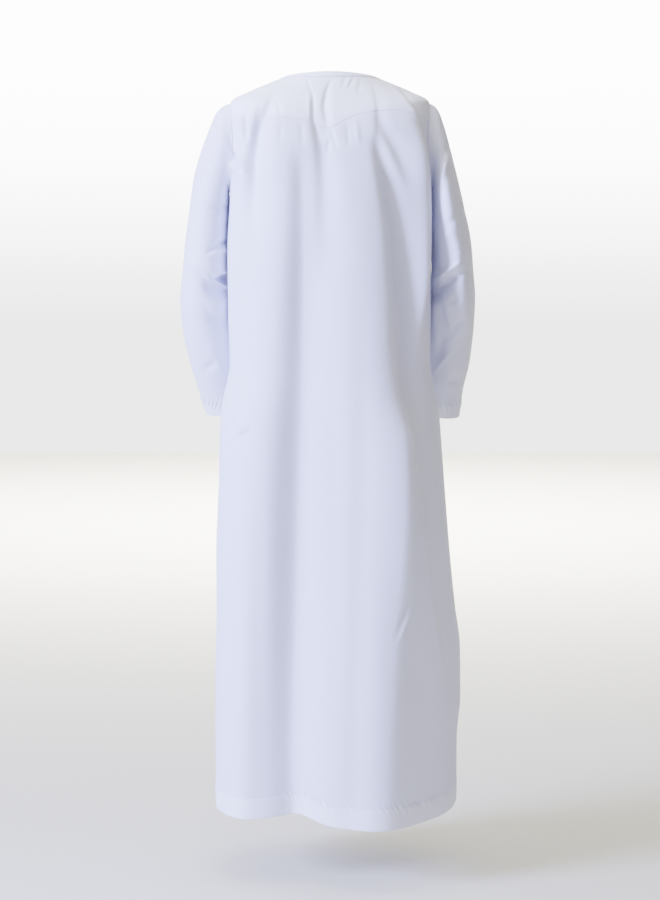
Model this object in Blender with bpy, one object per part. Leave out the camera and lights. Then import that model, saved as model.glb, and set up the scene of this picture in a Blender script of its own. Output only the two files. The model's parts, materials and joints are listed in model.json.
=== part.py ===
"""Thobe robe: an ankle-length collarless robe in its worn, standing form.

Metres, +Z up. The front faces -Y and the wearer's left is +X. The origin is the middle of the neck
opening, level with the neck edge at the centre of the back, where the robe rests on its wearer.

The body of the robe is one surface of rings. A place on it has a bearing, the angle round the wearer
from the centre of the back towards +X, and a drop, the height below the neck edge that its ring has at
the centre of the back. Each panel is a wall between two copies of its own region of that surface.
"""

import math

import bpy
import numpy as np

# Driving dimensions
WALL = 0.0018
HEM_LAYER = 0.0008
SEAM_GAP = 0.0003
SEAM_RETREAT = 0.00018
BACK_LENGTH = 1.377
HEM_HEIGHT = 0.038
CUFF_HEM_HEIGHT = 0.025
BINDING_WIDTH = 0.011
PLACKET_WIDTH = 0.030
PLACKET_LENGTH = 0.270
SLIT_WIDTH = 0.005
BUTTON_RADIUS = 0.0055
BUTTON_HEIGHT = 0.0024
BUTTON_DROPS = (0.070, 0.150, 0.230)
SLEEVE_LENGTH = 0.66
ARMHOLE_BLEND = 0.11
FIRST_SLEEVE_STATIONS = (0.0, 0.018, 0.05)
FOLD_STEP = 0.0005
HEM_LEVEL_FROM = 0.25
FOLD_TAIL = 0.1
SHARP_ANGLE = math.radians(50)

# Armhole, an oval in bearing and drop
ARMHOLE_TOP = 0.090
ARMHOLE_FOOT = 0.219
ARMHOLE_HALF_BEARING = math.radians(21)
BACK_SEAM_TURN = math.radians(54)
FRONT_SEAM_TURN = math.radians(-32)
FRONT_SEAM_NECK_BEARING = math.radians(120)

# Steps over which the slope of a surface is taken, in radians, metres and sleeve stations
SLOPE_TURN = 0.004
SLOPE_DROP = 0.0008
SLOPE_TWIST = 0.02
SLOPE_STATION = 0.004

# Mesh divisions
SHOULDER_STEPS = 6
ARMHOLE_BACK_STEPS = 6
ARMHOLE_FRONT_STEPS = 7
YOKE_STEPS = 5
SKIRT_STEPS = 25
SLEEVE_STEPS = 18
BINDING_STEPS = 48
EDGE_BLEND_POWER = 4
BUTTON_SIDES = 16

# Shares of the way from the centre of the back to its side, closer where its folds are
BACK_SHARES = (
    0.08, 0.16, 0.24, 0.31, 0.38, 0.45, 0.51, 0.57, 0.62, 0.67, 0.72, 0.78, 0.85, 0.92, 1.0,
)
# Shares of the way from the centre of the front to its side, beyond the placket
FRONT_SHARES = (0.18, 0.28, 0.38, 0.48, 0.58, 0.68, 0.78, 0.87, 0.94, 1.0)

RING_COLUMNS = (
    "drop", "half_width", "back_depth", "front_depth", "side_drop", "front_drop",
    "centre_x", "centre_y", "squareness",
)
RINGS = (
    (0.000, 0.084, 0.064, 0.082, 0.004, 0.052, 0.000, 0.000, 2.0),
    (0.030, 0.115, 0.086, 0.100, 0.016, 0.078, 0.000, 0.000, 2.1),
    (0.060, 0.151, 0.106, 0.116, 0.032, 0.104, 0.000, 0.002, 2.3),
    (0.090, 0.185, 0.121, 0.130, 0.053, 0.130, 0.000, 0.004, 2.6),
    (0.123, 0.187, 0.133, 0.140, 0.095, 0.154, 0.000, 0.006, 3.0),
    (0.165, 0.186, 0.142, 0.149, 0.152, 0.182, 0.000, 0.008, 3.0),
    (0.234, 0.187, 0.146, 0.157, 0.234, 0.236, 0.000, 0.012, 2.5),
    (0.319, 0.190, 0.142, 0.160, 0.319, 0.319, 0.001, 0.020, 2.3),
    (0.439, 0.189, 0.138, 0.162, 0.439, 0.439, 0.001, 0.028, 2.2),
    (0.534, 0.187, 0.138, 0.163, 0.534, 0.534, 0.000, 0.032, 2.2),
    (0.629, 0.204, 0.142, 0.165, 0.629, 0.629, 0.000, 0.034, 2.2),
    (0.759, 0.211, 0.150, 0.172, 0.759, 0.759, -0.003, 0.032, 2.2),
    (0.869, 0.218, 0.158, 0.178, 0.869, 0.869, -0.005, 0.028, 2.2),
    (0.989, 0.224, 0.168, 0.184, 0.989, 0.989, -0.011, 0.024, 2.2),
    (1.069, 0.230, 0.174, 0.188, 1.069, 1.069, -0.015, 0.020, 2.2),
    (1.159, 0.231, 0.180, 0.192, 1.159, 1.159, -0.015, 0.018, 2.2),
    (1.239, 0.228, 0.186, 0.195, 1.239, 1.239, -0.012, 0.014, 2.2),
    (1.377, 0.227, 0.196, 0.200, 1.377, 1.377, -0.012, 0.010, 2.2),
)

# The back yoke seam between the armholes, which dips to a point at the centre
YOKE_SEAM_COLUMNS = ("bearing_degrees", "drop")
YOKE_SEAM = (
    (-62.0, 0.110),
    (-49.0, 0.097),
    (-36.0, 0.092),
    (-24.0, 0.091),
    (-10.0, 0.100),
    (0.0, 0.110),
    (13.0, 0.103),
    (22.0, 0.0995),
    (36.0, 0.1015),
    (47.0, 0.104),
)

# How far the hem rises above its level, round the robe
HEM_RISE_COLUMNS = ("bearing_degrees", "rise")
HEM_RISE = (
    (-180.0, 0.006),
    (-140.0, 0.014),
    (-110.0, 0.012),
    (-90.0, 0.021),
    (-60.0, 0.008),
    (-20.0, 0.000),
    (0.0, 0.003),
    (24.0, 0.016),
    (50.0, 0.008),
    (80.0, 0.011),
    (110.0, 0.014),
    (145.0, 0.005),
    (180.0, 0.006),
)

# Folds of the body. Each row gives where the fold lies at one height: how far across it is, how far
# it stands out (or, below zero, in), and how wide its +X and -X slopes are.
FOLD_COLUMNS = ("height", "across", "out", "left_width", "right_width")
BACK_FOLDS = {
    "left valley": (
        (-0.134, 0.052, 0.000, 0.014, 0.020),
        (-0.201, 0.050, -0.010, 0.014, 0.026),
        (-0.300, 0.049, -0.016, 0.017, 0.032),
        (-0.420, 0.050, -0.024, 0.021, 0.038),
        (-0.580, 0.053, -0.030, 0.026, 0.044),
        (-0.706, 0.058, -0.035, 0.029, 0.048),
        (-0.833, 0.063, -0.039, 0.031, 0.050),
        (-0.978, 0.069, -0.043, 0.032, 0.052),
        (-1.123, 0.076, -0.046, 0.033, 0.054),
        (-1.268, 0.080, -0.048, 0.034, 0.056),
        (-1.353, 0.079, -0.052, 0.034, 0.056),
    ),
    "centre ridge": (
        (-0.163, -0.070, 0.000, 0.040, 0.016),
        (-0.235, -0.088, 0.005, 0.046, 0.013),
        (-0.340, -0.098, 0.009, 0.052, 0.013),
        (-0.450, -0.106, 0.013, 0.058, 0.014),
        (-0.560, -0.112, 0.016, 0.060, 0.016),
        (-0.690, -0.124, 0.020, 0.064, 0.019),
        (-0.800, -0.122, 0.022, 0.066, 0.024),
        (-0.900, -0.116, 0.023, 0.068, 0.027),
        (-1.113, -0.104, 0.023, 0.070, 0.034),
        (-1.353, -0.092, 0.022, 0.070, 0.040),
    ),
    "right valley": (
        (-0.124, -0.080, 0.000, 0.008, 0.009),
        (-0.170, -0.094, -0.008, 0.009, 0.011),
        (-0.220, -0.107, -0.014, 0.010, 0.012),
        (-0.297, -0.120, -0.019, 0.011, 0.012),
        (-0.400, -0.133, -0.024, 0.014, 0.012),
        (-0.500, -0.142, -0.026, 0.017, 0.012),
        (-0.580, -0.150, -0.020, 0.018, 0.012),
        (-0.662, -0.159, 0.000, 0.020, 0.013),
    ),
    "neck fold": (
        (-0.048, 0.031, 0.000, 0.008, 0.010),
        (-0.090, 0.025, -0.004, 0.008, 0.012),
        (-0.140, 0.015, -0.008, 0.009, 0.014),
        (-0.200, 0.010, -0.009, 0.011, 0.016),
        (-0.290, 0.006, -0.007, 0.014, 0.022),
        (-0.420, -0.002, 0.000, 0.018, 0.026),
    ),
    "left shoulder fold": (
        (-0.030, 0.098, 0.000, 0.006, 0.008),
        (-0.060, 0.110, -0.005, 0.006, 0.010),
        (-0.090, 0.122, -0.009, 0.006, 0.012),
        (-0.130, 0.134, -0.011, 0.008, 0.015),
        (-0.190, 0.143, -0.010, 0.010, 0.018),
        (-0.370, 0.146, 0.000, 0.016, 0.020),
    ),
    "left side swell": (
        (-0.585, 0.134, 0.000, 0.040, 0.030),
        (-0.873, 0.139, 0.006, 0.040, 0.030),
        (-1.353, 0.144, 0.012, 0.046, 0.030),
    ),
    "right side drape": (
        (-0.050, -0.138, 0.000, 0.014, 0.008),
        (-0.110, -0.155, 0.009, 0.017, 0.008),
        (-0.200, -0.161, 0.016, 0.019, 0.008),
        (-0.370, -0.161, 0.016, 0.018, 0.008),
        (-0.460, -0.158, 0.012, 0.013, 0.009),
        (-0.570, -0.157, 0.000, 0.007, 0.008),
    ),
    "right skirt fold": (
        (-0.600, -0.128, 0.000, 0.030, 0.009),
        (-0.680, -0.134, 0.010, 0.034, 0.009),
        (-0.780, -0.144, 0.015, 0.036, 0.009),
        (-0.900, -0.162, 0.016, 0.036, 0.009),
        (-1.000, -0.178, 0.013, 0.034, 0.010),
        (-1.110, -0.194, 0.008, 0.030, 0.012),
        (-1.276, -0.205, 0.000, 0.026, 0.014),
    ),
}
FRONT_FOLDS = {
    "left chest fold": (
        (-0.153, 0.080, 0.000, 0.012, 0.014),
        (-0.316, 0.092, -0.010, 0.014, 0.018),
        (-0.604, 0.094, -0.016, 0.018, 0.026),
        (-0.969, 0.088, -0.024, 0.024, 0.034),
        (-1.353, 0.082, -0.032, 0.028, 0.040),
    ),
    "right chest fold": (
        (-0.144, -0.076, 0.000, 0.012, 0.012),
        (-0.297, -0.090, -0.011, 0.016, 0.014),
        (-0.547, -0.098, -0.014, 0.022, 0.018),
        (-0.921, -0.078, -0.022, 0.034, 0.024),
        (-1.353, -0.072, -0.036, 0.042, 0.028),
    ),
    "centre swell": (
        (-0.489, 0.005, 0.000, 0.040, 0.040),
        (-0.873, 0.008, 0.008, 0.036, 0.036),
        (-1.353, 0.010, 0.014, 0.034, 0.034),
    ),
    "left skirt valley": (
        (-0.681, 0.165, 0.000, 0.016, 0.020),
        (-1.017, 0.160, -0.012, 0.018, 0.022),
        (-1.353, 0.158, -0.022, 0.020, 0.024),
    ),
    "right skirt valley": (
        (-0.604, -0.160, 0.000, 0.020, 0.016),
        (-0.969, -0.168, -0.014, 0.022, 0.018),
        (-1.353, -0.160, -0.020, 0.024, 0.020),
    ),
}

# Sleeves. Each ring is an oval between an outer point, away from the body, and an inner one.
SLEEVE_COLUMNS = (
    "station", "outer_x", "outer_z", "inner_x", "inner_z", "centre_y", "half_depth", "tilt",
)
SLEEVE_LEFT = (
    (0.00, 0.187, -0.052, 0.190, -0.219, 0.004, 0.070, 0.00),
    (0.06, 0.206, -0.060, 0.1908, -0.2215, 0.004, 0.073, 0.00),
    (0.13, 0.2195, -0.085, 0.1879, -0.228, 0.000, 0.075, 0.00),
    (0.20, 0.231, -0.112, 0.1878, -0.239, -0.006, 0.077, 0.00),
    (0.27, 0.2425, -0.142, 0.1878, -0.254, -0.012, 0.078, 0.00),
    (0.35, 0.2560, -0.189, 0.1880, -0.276, -0.018, 0.077, 0.00),
    (0.44, 0.265, -0.249, 0.1884, -0.308, -0.023, 0.076, 0.00),
    (0.53, 0.273, -0.306, 0.1882, -0.346, -0.026, 0.074, 0.02),
    (0.61, 0.2785, -0.362, 0.1875, -0.386, -0.028, 0.071, 0.06),
    (0.69, 0.2840, -0.419, 0.1865, -0.429, -0.034, 0.067, 0.12),
    (0.77, 0.2800, -0.475, 0.1810, -0.477, -0.052, 0.062, 0.22),
    (0.85, 0.2695, -0.532, 0.1720, -0.529, -0.080, 0.057, 0.30),
    (0.93, 0.2550, -0.589, 0.1590, -0.581, -0.114, 0.052, 0.26),
    (1.00, 0.2420, -0.635, 0.1460, -0.623, -0.142, 0.049, 0.20),
)
SLEEVE_RIGHT = (
    (0.00, 0.187, -0.052, 0.190, -0.219, 0.004, 0.070, 0.00),
    (0.06, 0.199, -0.059, 0.1920, -0.2215, 0.004, 0.073, 0.00),
    (0.13, 0.209, -0.084, 0.1883, -0.228, 0.008, 0.076, 0.00),
    (0.20, 0.217, -0.111, 0.1882, -0.239, 0.016, 0.078, 0.00),
    (0.27, 0.2245, -0.142, 0.1886, -0.254, 0.022, 0.080, 0.00),
    (0.35, 0.2360, -0.189, 0.1889, -0.276, 0.024, 0.080, 0.00),
    (0.44, 0.249, -0.249, 0.1891, -0.308, 0.024, 0.078, 0.00),
    (0.53, 0.262, -0.306, 0.1892, -0.346, 0.020, 0.076, 0.02),
    (0.61, 0.268, -0.362, 0.1892, -0.386, 0.012, 0.072, 0.06),
    (0.69, 0.2730, -0.419, 0.1860, -0.429, -0.006, 0.068, 0.12),
    (0.77, 0.2720, -0.475, 0.1830, -0.477, -0.036, 0.063, 0.22),
    (0.85, 0.2680, -0.532, 0.1770, -0.529, -0.074, 0.058, 0.30),
    (0.93, 0.2580, -0.589, 0.1670, -0.581, -0.116, 0.052, 0.26),
    (1.00, 0.2525, -0.641, 0.1580, -0.627, -0.144, 0.049, 0.20),
)

# Sleeve creases: station and turn round the sleeve (0 outside, 90 back, 180 inside, 270 front)
# Columns: station, turn in degrees, rise, width along the sleeve, width round it in degrees, slant
SLEEVE_CREASES = (
    (0.635, 122.0, -0.014, 0.020, 28.0, 0.0002),
    (0.590, 115.0, 0.004, 0.022, 30.0, 0.0002),
    (0.685, 112.0, 0.004, 0.024, 30.0, -0.0002),
    (0.540, 250.0, -0.008, 0.022, 30.0, -0.0003),
    (0.740, 250.0, -0.008, 0.024, 40.0, 0.0003),
)

# Button outline in shares of its radius and of its height
BUTTON_PROFILE = ((0.80, 0.0), (1.0, 0.25), (1.0, 0.70), (0.75, 1.0))

# In-seam pocket bags, flat pouches that hang inside the back panel beside the side seams
POCKET_BEARINGS = (44.0, 88.0)
POCKET_DROPS = (0.585, 0.885)

# Cosines of the bearing between which the folds fade out towards the sides
SIDE_FADE = (0.02, 0.30)

CLOTH_COLOUR = (0.80, 0.81, 0.90, 1.0)
BUTTON_COLOUR = (0.86, 0.86, 0.88, 1.0)


def column(names, rows, name):
    """One column of a table, as an array."""
    return np.array([row[names.index(name)] for row in rows], float)


def eased(places, values, at):
    """A curve through the values that never overshoots them (Fritsch and Carlson slopes)."""
    at = np.clip(at, places[0], places[-1])
    steps = np.diff(places)
    rises = np.diff(values) / steps
    slopes = np.zeros(len(places))
    slopes[0], slopes[-1] = rises[0], rises[-1]
    for i in range(1, len(places) - 1):
        if rises[i - 1] * rises[i] > 0:
            slopes[i] = 2 * rises[i - 1] * rises[i] / (rises[i - 1] + rises[i])
    i = np.clip(np.searchsorted(places, at, side="right") - 1, 0, len(steps) - 1)
    u = (at - places[i]) / steps[i]
    return (
        values[i] * (1 + 2 * u) * (1 - u) ** 2
        + values[i + 1] * u * u * (3 - 2 * u)
        + steps[i] * u * (1 - u) * (slopes[i] * (1 - u) - slopes[i + 1] * u)
    )


def from_table(names, rows, name, at):
    """The column's value at places along the table's first column."""
    return eased(column(names, rows, names[0]), column(names, rows, name), at)


def smoothstep(low, high, x):
    u = np.clip((x - low) / (high - low), 0, 1)
    return u * u * (3 - 2 * u)


def folds_out(folds, x, z):
    """How far all the folds of one side move the cloth out at these places."""
    out = np.zeros(np.shape(x))
    for rows in folds.values():
        heights = column(FOLD_COLUMNS, rows, "height")[::-1]
        across, depth, left, right = (
            eased(heights, column(FOLD_COLUMNS, rows, name)[::-1], z)
            for name in FOLD_COLUMNS[1:]
        )
        inside = (z <= heights[-1]) & (z >= heights[0] - FOLD_TAIL)
        away = (x - across) / np.where(x > across, left, right)
        out = out + np.where(inside, depth * np.exp(-0.5 * away * away), 0)
    return out


def ring_point(bearing, drop):
    """The body's surface without its folds, and the outward direction in plan."""
    half, back, front, side_drop, front_drop, centre_x, centre_y, square = (
        from_table(RING_COLUMNS, RINGS, name, drop) for name in RING_COLUMNS[1:]
    )
    across, along = np.sin(bearing), np.cos(bearing)
    depth = np.where(along > 0, back, front)
    a, b = np.abs(across) / half, np.abs(along) / depth
    radius = (a**square + b**square) ** (-1 / square)
    end_drop = np.where(along > 0, drop, front_drop)
    fall = side_drop + (end_drop - side_drop) * along**2
    out_x = np.sign(across) * a ** (square - 1) / half
    out_y = np.sign(along) * b ** (square - 1) / depth
    length = np.hypot(out_x, out_y)
    point = np.stack([centre_x + radius * across, centre_y + radius * along, -fall], axis=-1)
    return point, np.stack([out_x / length, out_y / length, 0 * length], axis=-1)


def body_point(bearing, drop):
    """The outer surface of the body with its folds."""
    bearing, drop = np.broadcast_arrays(np.asarray(bearing, float), np.asarray(drop, float))
    point, outward = ring_point(bearing, drop)
    along = np.cos(bearing)
    on_back = smoothstep(*SIDE_FADE, along)
    on_front = smoothstep(*SIDE_FADE, -along)
    x, z = point[..., 0], point[..., 2]
    out = on_back * folds_out(BACK_FOLDS, x, z) + on_front * folds_out(FRONT_FOLDS, x, z)
    return point + outward * out[..., None]


def unit(vectors):
    lengths = np.linalg.norm(vectors, axis=-1, keepdims=True)
    return vectors / np.maximum(lengths, np.finfo(float).tiny)


def on_body(bearing, drop, lift):
    """Points at a lift above the body's outer surface, below it where the lift is negative."""
    bearing, drop = np.broadcast_arrays(np.asarray(bearing, float), np.asarray(drop, float))
    round_it = body_point(bearing + SLOPE_TURN, drop) - body_point(bearing - SLOPE_TURN, drop)
    low, high = np.clip(drop - SLOPE_DROP, 0, None), np.clip(drop + SLOPE_DROP, None, BACK_LENGTH)
    down_it = body_point(bearing, high) - body_point(bearing, low)
    outward = unit(np.cross(round_it, down_it))
    return body_point(bearing, drop) + outward * np.asarray(lift, float)[..., None]


def pulled_back(grid, sides):
    """The grid with its named edges drawn in, so that it stops short of the seams."""
    grid = grid.copy()
    for side in sides:
        edge, inside = {
            "top": (grid[0], grid[1]),
            "foot": (grid[-1], grid[-2]),
            "first": (grid[:, 0], grid[:, 1]),
            "last": (grid[:, -1], grid[:, -2]),
        }[side]
        edge += unit(inside - edge) * SEAM_RETREAT
    return grid


def wall(name, outer, inner, material, active=None, closed=False):
    """A closed solid between an outer and an inner grid of the same size, over the active cells."""
    rows, columns = outer.shape[:2]
    across = columns if closed else columns - 1
    if active is None:
        active = np.ones((rows - 1, across), bool)
    points = np.concatenate([outer.reshape(-1, 3), inner.reshape(-1, 3)])
    below = rows * columns
    faces = []
    for i in range(rows - 1):
        for j in range(across):
            if not active[i, j]:
                continue
            k = (j + 1) % columns
            corners = [i * columns + j, i * columns + k, (i + 1) * columns + k, (i + 1) * columns + j]
            faces.append(corners)
            faces.append([corners[n] + below for n in (0, 3, 2, 1)])
            before = active[i, (j - 1) % across] if closed or j > 0 else False
            after = active[i, (j + 1) % across] if closed or j < across - 1 else False
            neighbours = (
                i > 0 and active[i - 1, j],
                after,
                i < rows - 2 and active[i + 1, j],
                before,
            )
            for n, there in enumerate(neighbours):
                if not there:
                    first, second = corners[n], corners[(n + 1) % 4]
                    faces.append([second, first, first + below, second + below])
    return solid(name, points, faces, material)


def solid(name, points, faces, material):
    """A mesh object of these faces, turned so that they point out, without unused points."""
    used = sorted({c for face in faces for c in face})
    number = {c: n for n, c in enumerate(used)}
    points = np.asarray(points)[used]
    faces = [[number[c] for c in face] for face in faces]
    middle = points.mean(axis=0)
    volume = 0.0
    for face in faces:
        corner = points[face] - middle
        for n in range(1, len(face) - 1):
            volume += np.dot(corner[0], np.cross(corner[n], corner[n + 1]))
    if volume < 0:
        faces = [face[:1] + face[:0:-1] for face in faces]
    mesh = bpy.data.meshes.new(name)
    mesh.from_pydata([tuple(p) for p in points], [], faces)
    mesh.materials.append(material)
    mesh.shade_smooth()
    mesh.set_sharp_from_angle(angle=SHARP_ANGLE)
    made = bpy.data.objects.new(name, mesh)
    bpy.context.scene.collection.objects.link(made)
    return made


def material_of(name, colour, roughness):
    material = bpy.data.materials.new(name)
    material.use_nodes = True
    shader = material.node_tree.nodes["Principled BSDF"]
    shader.inputs["Base Color"].default_value = colour
    shader.inputs["Roughness"].default_value = roughness
    shader.inputs["Metallic"].default_value = 0.0
    material.diffuse_color = colour
    return material


# Places along the armhole, shared by the pieces that meet there


def armhole_place(turn):
    """Bearing and drop on the left armhole: turn 0 is its top, a quarter its back, a half its foot."""
    middle = (ARMHOLE_TOP + ARMHOLE_FOOT) / 2
    bearing = math.pi / 2 - ARMHOLE_HALF_BEARING * np.sin(turn)
    return bearing, middle - (ARMHOLE_FOOT - ARMHOLE_TOP) / 2 * np.cos(turn)


SHOULDER_TURNS = np.linspace(BACK_SEAM_TURN, FRONT_SEAM_TURN, SHOULDER_STEPS + 1)
BACK_TURNS = np.linspace(BACK_SEAM_TURN, math.pi, ARMHOLE_BACK_STEPS + 1)
FRONT_TURNS = np.linspace(FRONT_SEAM_TURN, -math.pi, ARMHOLE_FRONT_STEPS + 1)


def yoke_seam_drop(bearing):
    end_bearing, end_drop = armhole_place(BACK_SEAM_TURN)
    end = math.degrees(end_bearing)
    rows = ((-end, end_drop),) + YOKE_SEAM + ((end, end_drop),)
    return from_table(YOKE_SEAM_COLUMNS, rows, "drop", np.degrees(bearing))


def hem_drop(bearing):
    turned = (np.degrees(bearing) + 180) % 360 - 180
    return BACK_LENGTH - from_table(HEM_RISE_COLUMNS, HEM_RISE, "rise", turned)


def skirt_rows():
    """Level drops from the foot of the armhole to the hem, with a step where the hem's fold starts."""
    fold = BACK_LENGTH - HEM_HEIGHT
    levels = np.linspace(ARMHOLE_FOOT, fold - FOLD_STEP, SKIRT_STEPS + 1)[1:]
    return np.concatenate([levels, [fold + FOLD_STEP, fold + HEM_HEIGHT / 2, BACK_LENGTH]])


def with_hem(drop, bearing):
    """The level drops moved so that the last one follows the hem's uneven foot."""
    start = BACK_LENGTH - HEM_LEVEL_FROM
    share = np.clip((drop - start) / (BACK_LENGTH - start), 0, None)
    return drop + share * (hem_drop(bearing) - BACK_LENGTH)


def hem_lift(drop):
    return np.where(drop > BACK_LENGTH - HEM_HEIGHT, HEM_LAYER, 0.0)


def back_grid():
    """Bearings, drops and lifts of the back panel's points, from the yoke seam to the hem."""
    share = np.concatenate([-np.array(BACK_SHARES)[::-1], [0], BACK_SHARES])
    edge_bearing, edge_drop = armhole_place(BACK_TURNS)
    below = skirt_rows()
    edge_bearing = np.concatenate([edge_bearing, np.full(len(below), math.pi / 2)])
    bearing = edge_bearing[:, None] * share[None, :]
    at_edge = (edge_drop - edge_drop[0]) / (ARMHOLE_FOOT - edge_drop[0])
    even = np.linspace(0, 1, len(at_edge))
    fraction = even[:, None] + (at_edge - even)[:, None] * np.abs(share[None, :]) ** EDGE_BLEND_POWER
    seam = yoke_seam_drop(bearing[0])[None, :]
    upper = seam + fraction * (ARMHOLE_FOOT - seam)
    lower = np.repeat(below[:, None], len(share), axis=1)
    lift = np.concatenate([0 * upper, hem_lift(lower)])
    drop = np.concatenate([upper, with_hem(lower, bearing[len(fraction):])])
    return bearing, drop, lift


def neck_seam_places():
    """The left front shoulder seam, from the binding out to the armhole."""
    end_bearing, end_drop = armhole_place(FRONT_SEAM_TURN)
    share = np.linspace(0, 1, YOKE_STEPS + 1)
    bearing = FRONT_SEAM_NECK_BEARING + share * (end_bearing - FRONT_SEAM_NECK_BEARING)
    return bearing, BINDING_WIDTH + share * (end_drop - BINDING_WIDTH)


def front_grid():
    """Bearings, drops and lifts of the front panel's points, from the neck to the hem."""
    seam_bearing, seam_drop = neck_seam_places()
    hole_bearing, hole_drop = armhole_place(FRONT_TURNS[1:])
    below = skirt_rows()
    edge_bearing = np.concatenate([seam_bearing, hole_bearing, np.full(len(below), math.pi / 2)])
    row_drop = np.concatenate([seam_drop, hole_drop, below])
    depth = from_table(RING_COLUMNS, RINGS, "front_depth", row_drop)
    reach = (math.pi - edge_bearing)[:, None]
    close = np.arctan(np.array([SLIT_WIDTH, PLACKET_WIDTH])[None, :] / 2 / depth[:, None])
    half = np.concatenate([close, reach * np.array(FRONT_SHARES)[None, :]], axis=1)
    bearing = math.pi + np.concatenate([-half[:, ::-1], half], axis=1)
    level = np.repeat(row_drop[:, None], bearing.shape[1], axis=1)
    return bearing, with_hem(level, bearing), hem_lift(level)


def neck_binding(cloth):
    """The strip round the neck edge, open at the slit."""
    front_depth = column(RING_COLUMNS, RINGS, "front_depth")[0]
    ends = math.pi - math.atan(SLIT_WIDTH / 2 / front_depth)
    bearing, drop = np.meshgrid(
        np.linspace(-ends, ends, BINDING_STEPS + 1), [0, BINDING_WIDTH / 2, BINDING_WIDTH]
    )
    outer = pulled_back(on_body(bearing, drop, 0 * drop + HEM_LAYER), ["foot"])
    inner = pulled_back(on_body(bearing, drop, 0 * drop - WALL), ["foot"])
    return wall("neck_binding", outer, inner, cloth)


def yoke(cloth):
    """From the neck out to the back seam, round both armholes' tops and to the front shoulder seams."""
    seam_bearing = back_grid()[0][0]
    hole_bearing, hole_drop = armhole_place(SHOULDER_TURNS[1:])
    outer_bearing = np.concatenate([-hole_bearing[::-1], seam_bearing, hole_bearing])
    outer_drop = np.concatenate([hole_drop[::-1], yoke_seam_drop(seam_bearing), hole_drop])
    side = np.linspace(seam_bearing[-1], FRONT_SEAM_NECK_BEARING, SHOULDER_STEPS + 1)[1:]
    inner_bearing = np.concatenate([-side[::-1], seam_bearing, side])
    share = np.linspace(0, 1, YOKE_STEPS + 1)[:, None]
    bearing = inner_bearing + share * (outer_bearing - inner_bearing)
    drop = BINDING_WIDTH + share * (outer_drop - BINDING_WIDTH)
    seams = ["top", "foot", "first", "last"]
    outer = pulled_back(on_body(bearing, drop, np.full(drop.shape, 0.0)), seams)
    inner = pulled_back(on_body(bearing, drop, np.full(drop.shape, -WALL)), seams)
    return wall("yoke", outer, inner, cloth)


def back_panel(cloth):
    bearing, drop, lift = back_grid()
    seams = ["top", "first", "last"]
    outer = pulled_back(on_body(bearing, drop, lift), seams)
    inner = pulled_back(on_body(bearing, drop, 0 * lift - WALL), seams)
    return wall("back_panel", outer, inner, cloth)


def placket_rows(drop):
    return int(np.searchsorted(drop[:, drop.shape[1] // 2], PLACKET_LENGTH))


def front_panel(cloth):
    """The front, with the narrow slit that lets a head through."""
    bearing, drop, lift = front_grid()
    seams = ["top", "first", "last"]
    outer = pulled_back(on_body(bearing, drop, lift), seams)
    inner = pulled_back(on_body(bearing, drop, 0 * lift - WALL), seams)
    active = np.ones((len(drop) - 1, drop.shape[1] - 1), bool)
    active[: placket_rows(drop) - 1, active.shape[1] // 2] = False
    return wall("front_panel", outer, inner, cloth, active)


def plackets(cloth):
    """The two strips over and under the slit, made from the front panel's own points."""
    bearing, drop, lift = front_grid()
    middle = drop.shape[1] // 2
    span = slice(middle - 2, middle + 2)
    rows = slice(0, placket_rows(drop) + 1)
    bearing, drop, lift = (part[rows, span] for part in (bearing, drop, lift))
    for name, high, low in (
        ("over_placket", SEAM_GAP + WALL, SEAM_GAP),
        ("under_placket", -WALL - SEAM_GAP, -2 * WALL - SEAM_GAP),
    ):
        outer = pulled_back(on_body(bearing, drop, lift + high), ["top"])
        inner = pulled_back(on_body(bearing, drop, lift + low), ["top"])
        wall(name, outer, inner, cloth)


def buttons(material):
    """Small turned discs down the placket."""
    for number, drop in enumerate(BUTTON_DROPS, 1):
        seat = on_body(math.pi, drop, 2 * SEAM_GAP + WALL)
        outward = unit(on_body(math.pi, drop, BUTTON_HEIGHT) - on_body(math.pi, drop, 0.0))
        side = unit(np.cross(outward, [0.0, 0.0, 1.0]))
        up = np.cross(side, outward)
        turns = np.linspace(0, 2 * math.pi, BUTTON_SIDES, endpoint=False)
        rim = np.cos(turns)[:, None] * side + np.sin(turns)[:, None] * up
        points = np.concatenate([
            seat + radius * BUTTON_RADIUS * rim + height * BUTTON_HEIGHT * outward
            for radius, height in BUTTON_PROFILE
        ])
        last = (len(BUTTON_PROFILE) - 1) * BUTTON_SIDES
        faces = [list(range(BUTTON_SIDES)), [last + n for n in reversed(range(BUTTON_SIDES))]]
        for ring in range(len(BUTTON_PROFILE) - 1):
            for n in range(BUTTON_SIDES):
                m = (n + 1) % BUTTON_SIDES
                low, high = ring * BUTTON_SIDES, (ring + 1) * BUTTON_SIDES
                faces.append([low + m, low + n, high + n, high + m])
        solid(f"button_{number}", points, faces, material)


def sleeve_table_point(table, side, station, turn):
    """The ovals of the sleeve's table, on the side that the sign gives."""
    out_x, out_z, in_x, in_z, centre_y, half_depth, tilt = (
        from_table(SLEEVE_COLUMNS, table, name, station) for name in SLEEVE_COLUMNS[1:]
    )
    across, along = np.cos(turn), np.sin(turn)
    x = (out_x + in_x) / 2 + (out_x - in_x) / 2 * across
    z = (out_z + in_z) / 2 + (out_z - in_z) / 2 * across - tilt * half_depth * along
    return np.stack([side * x, centre_y + half_depth * along, z], axis=-1)


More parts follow.
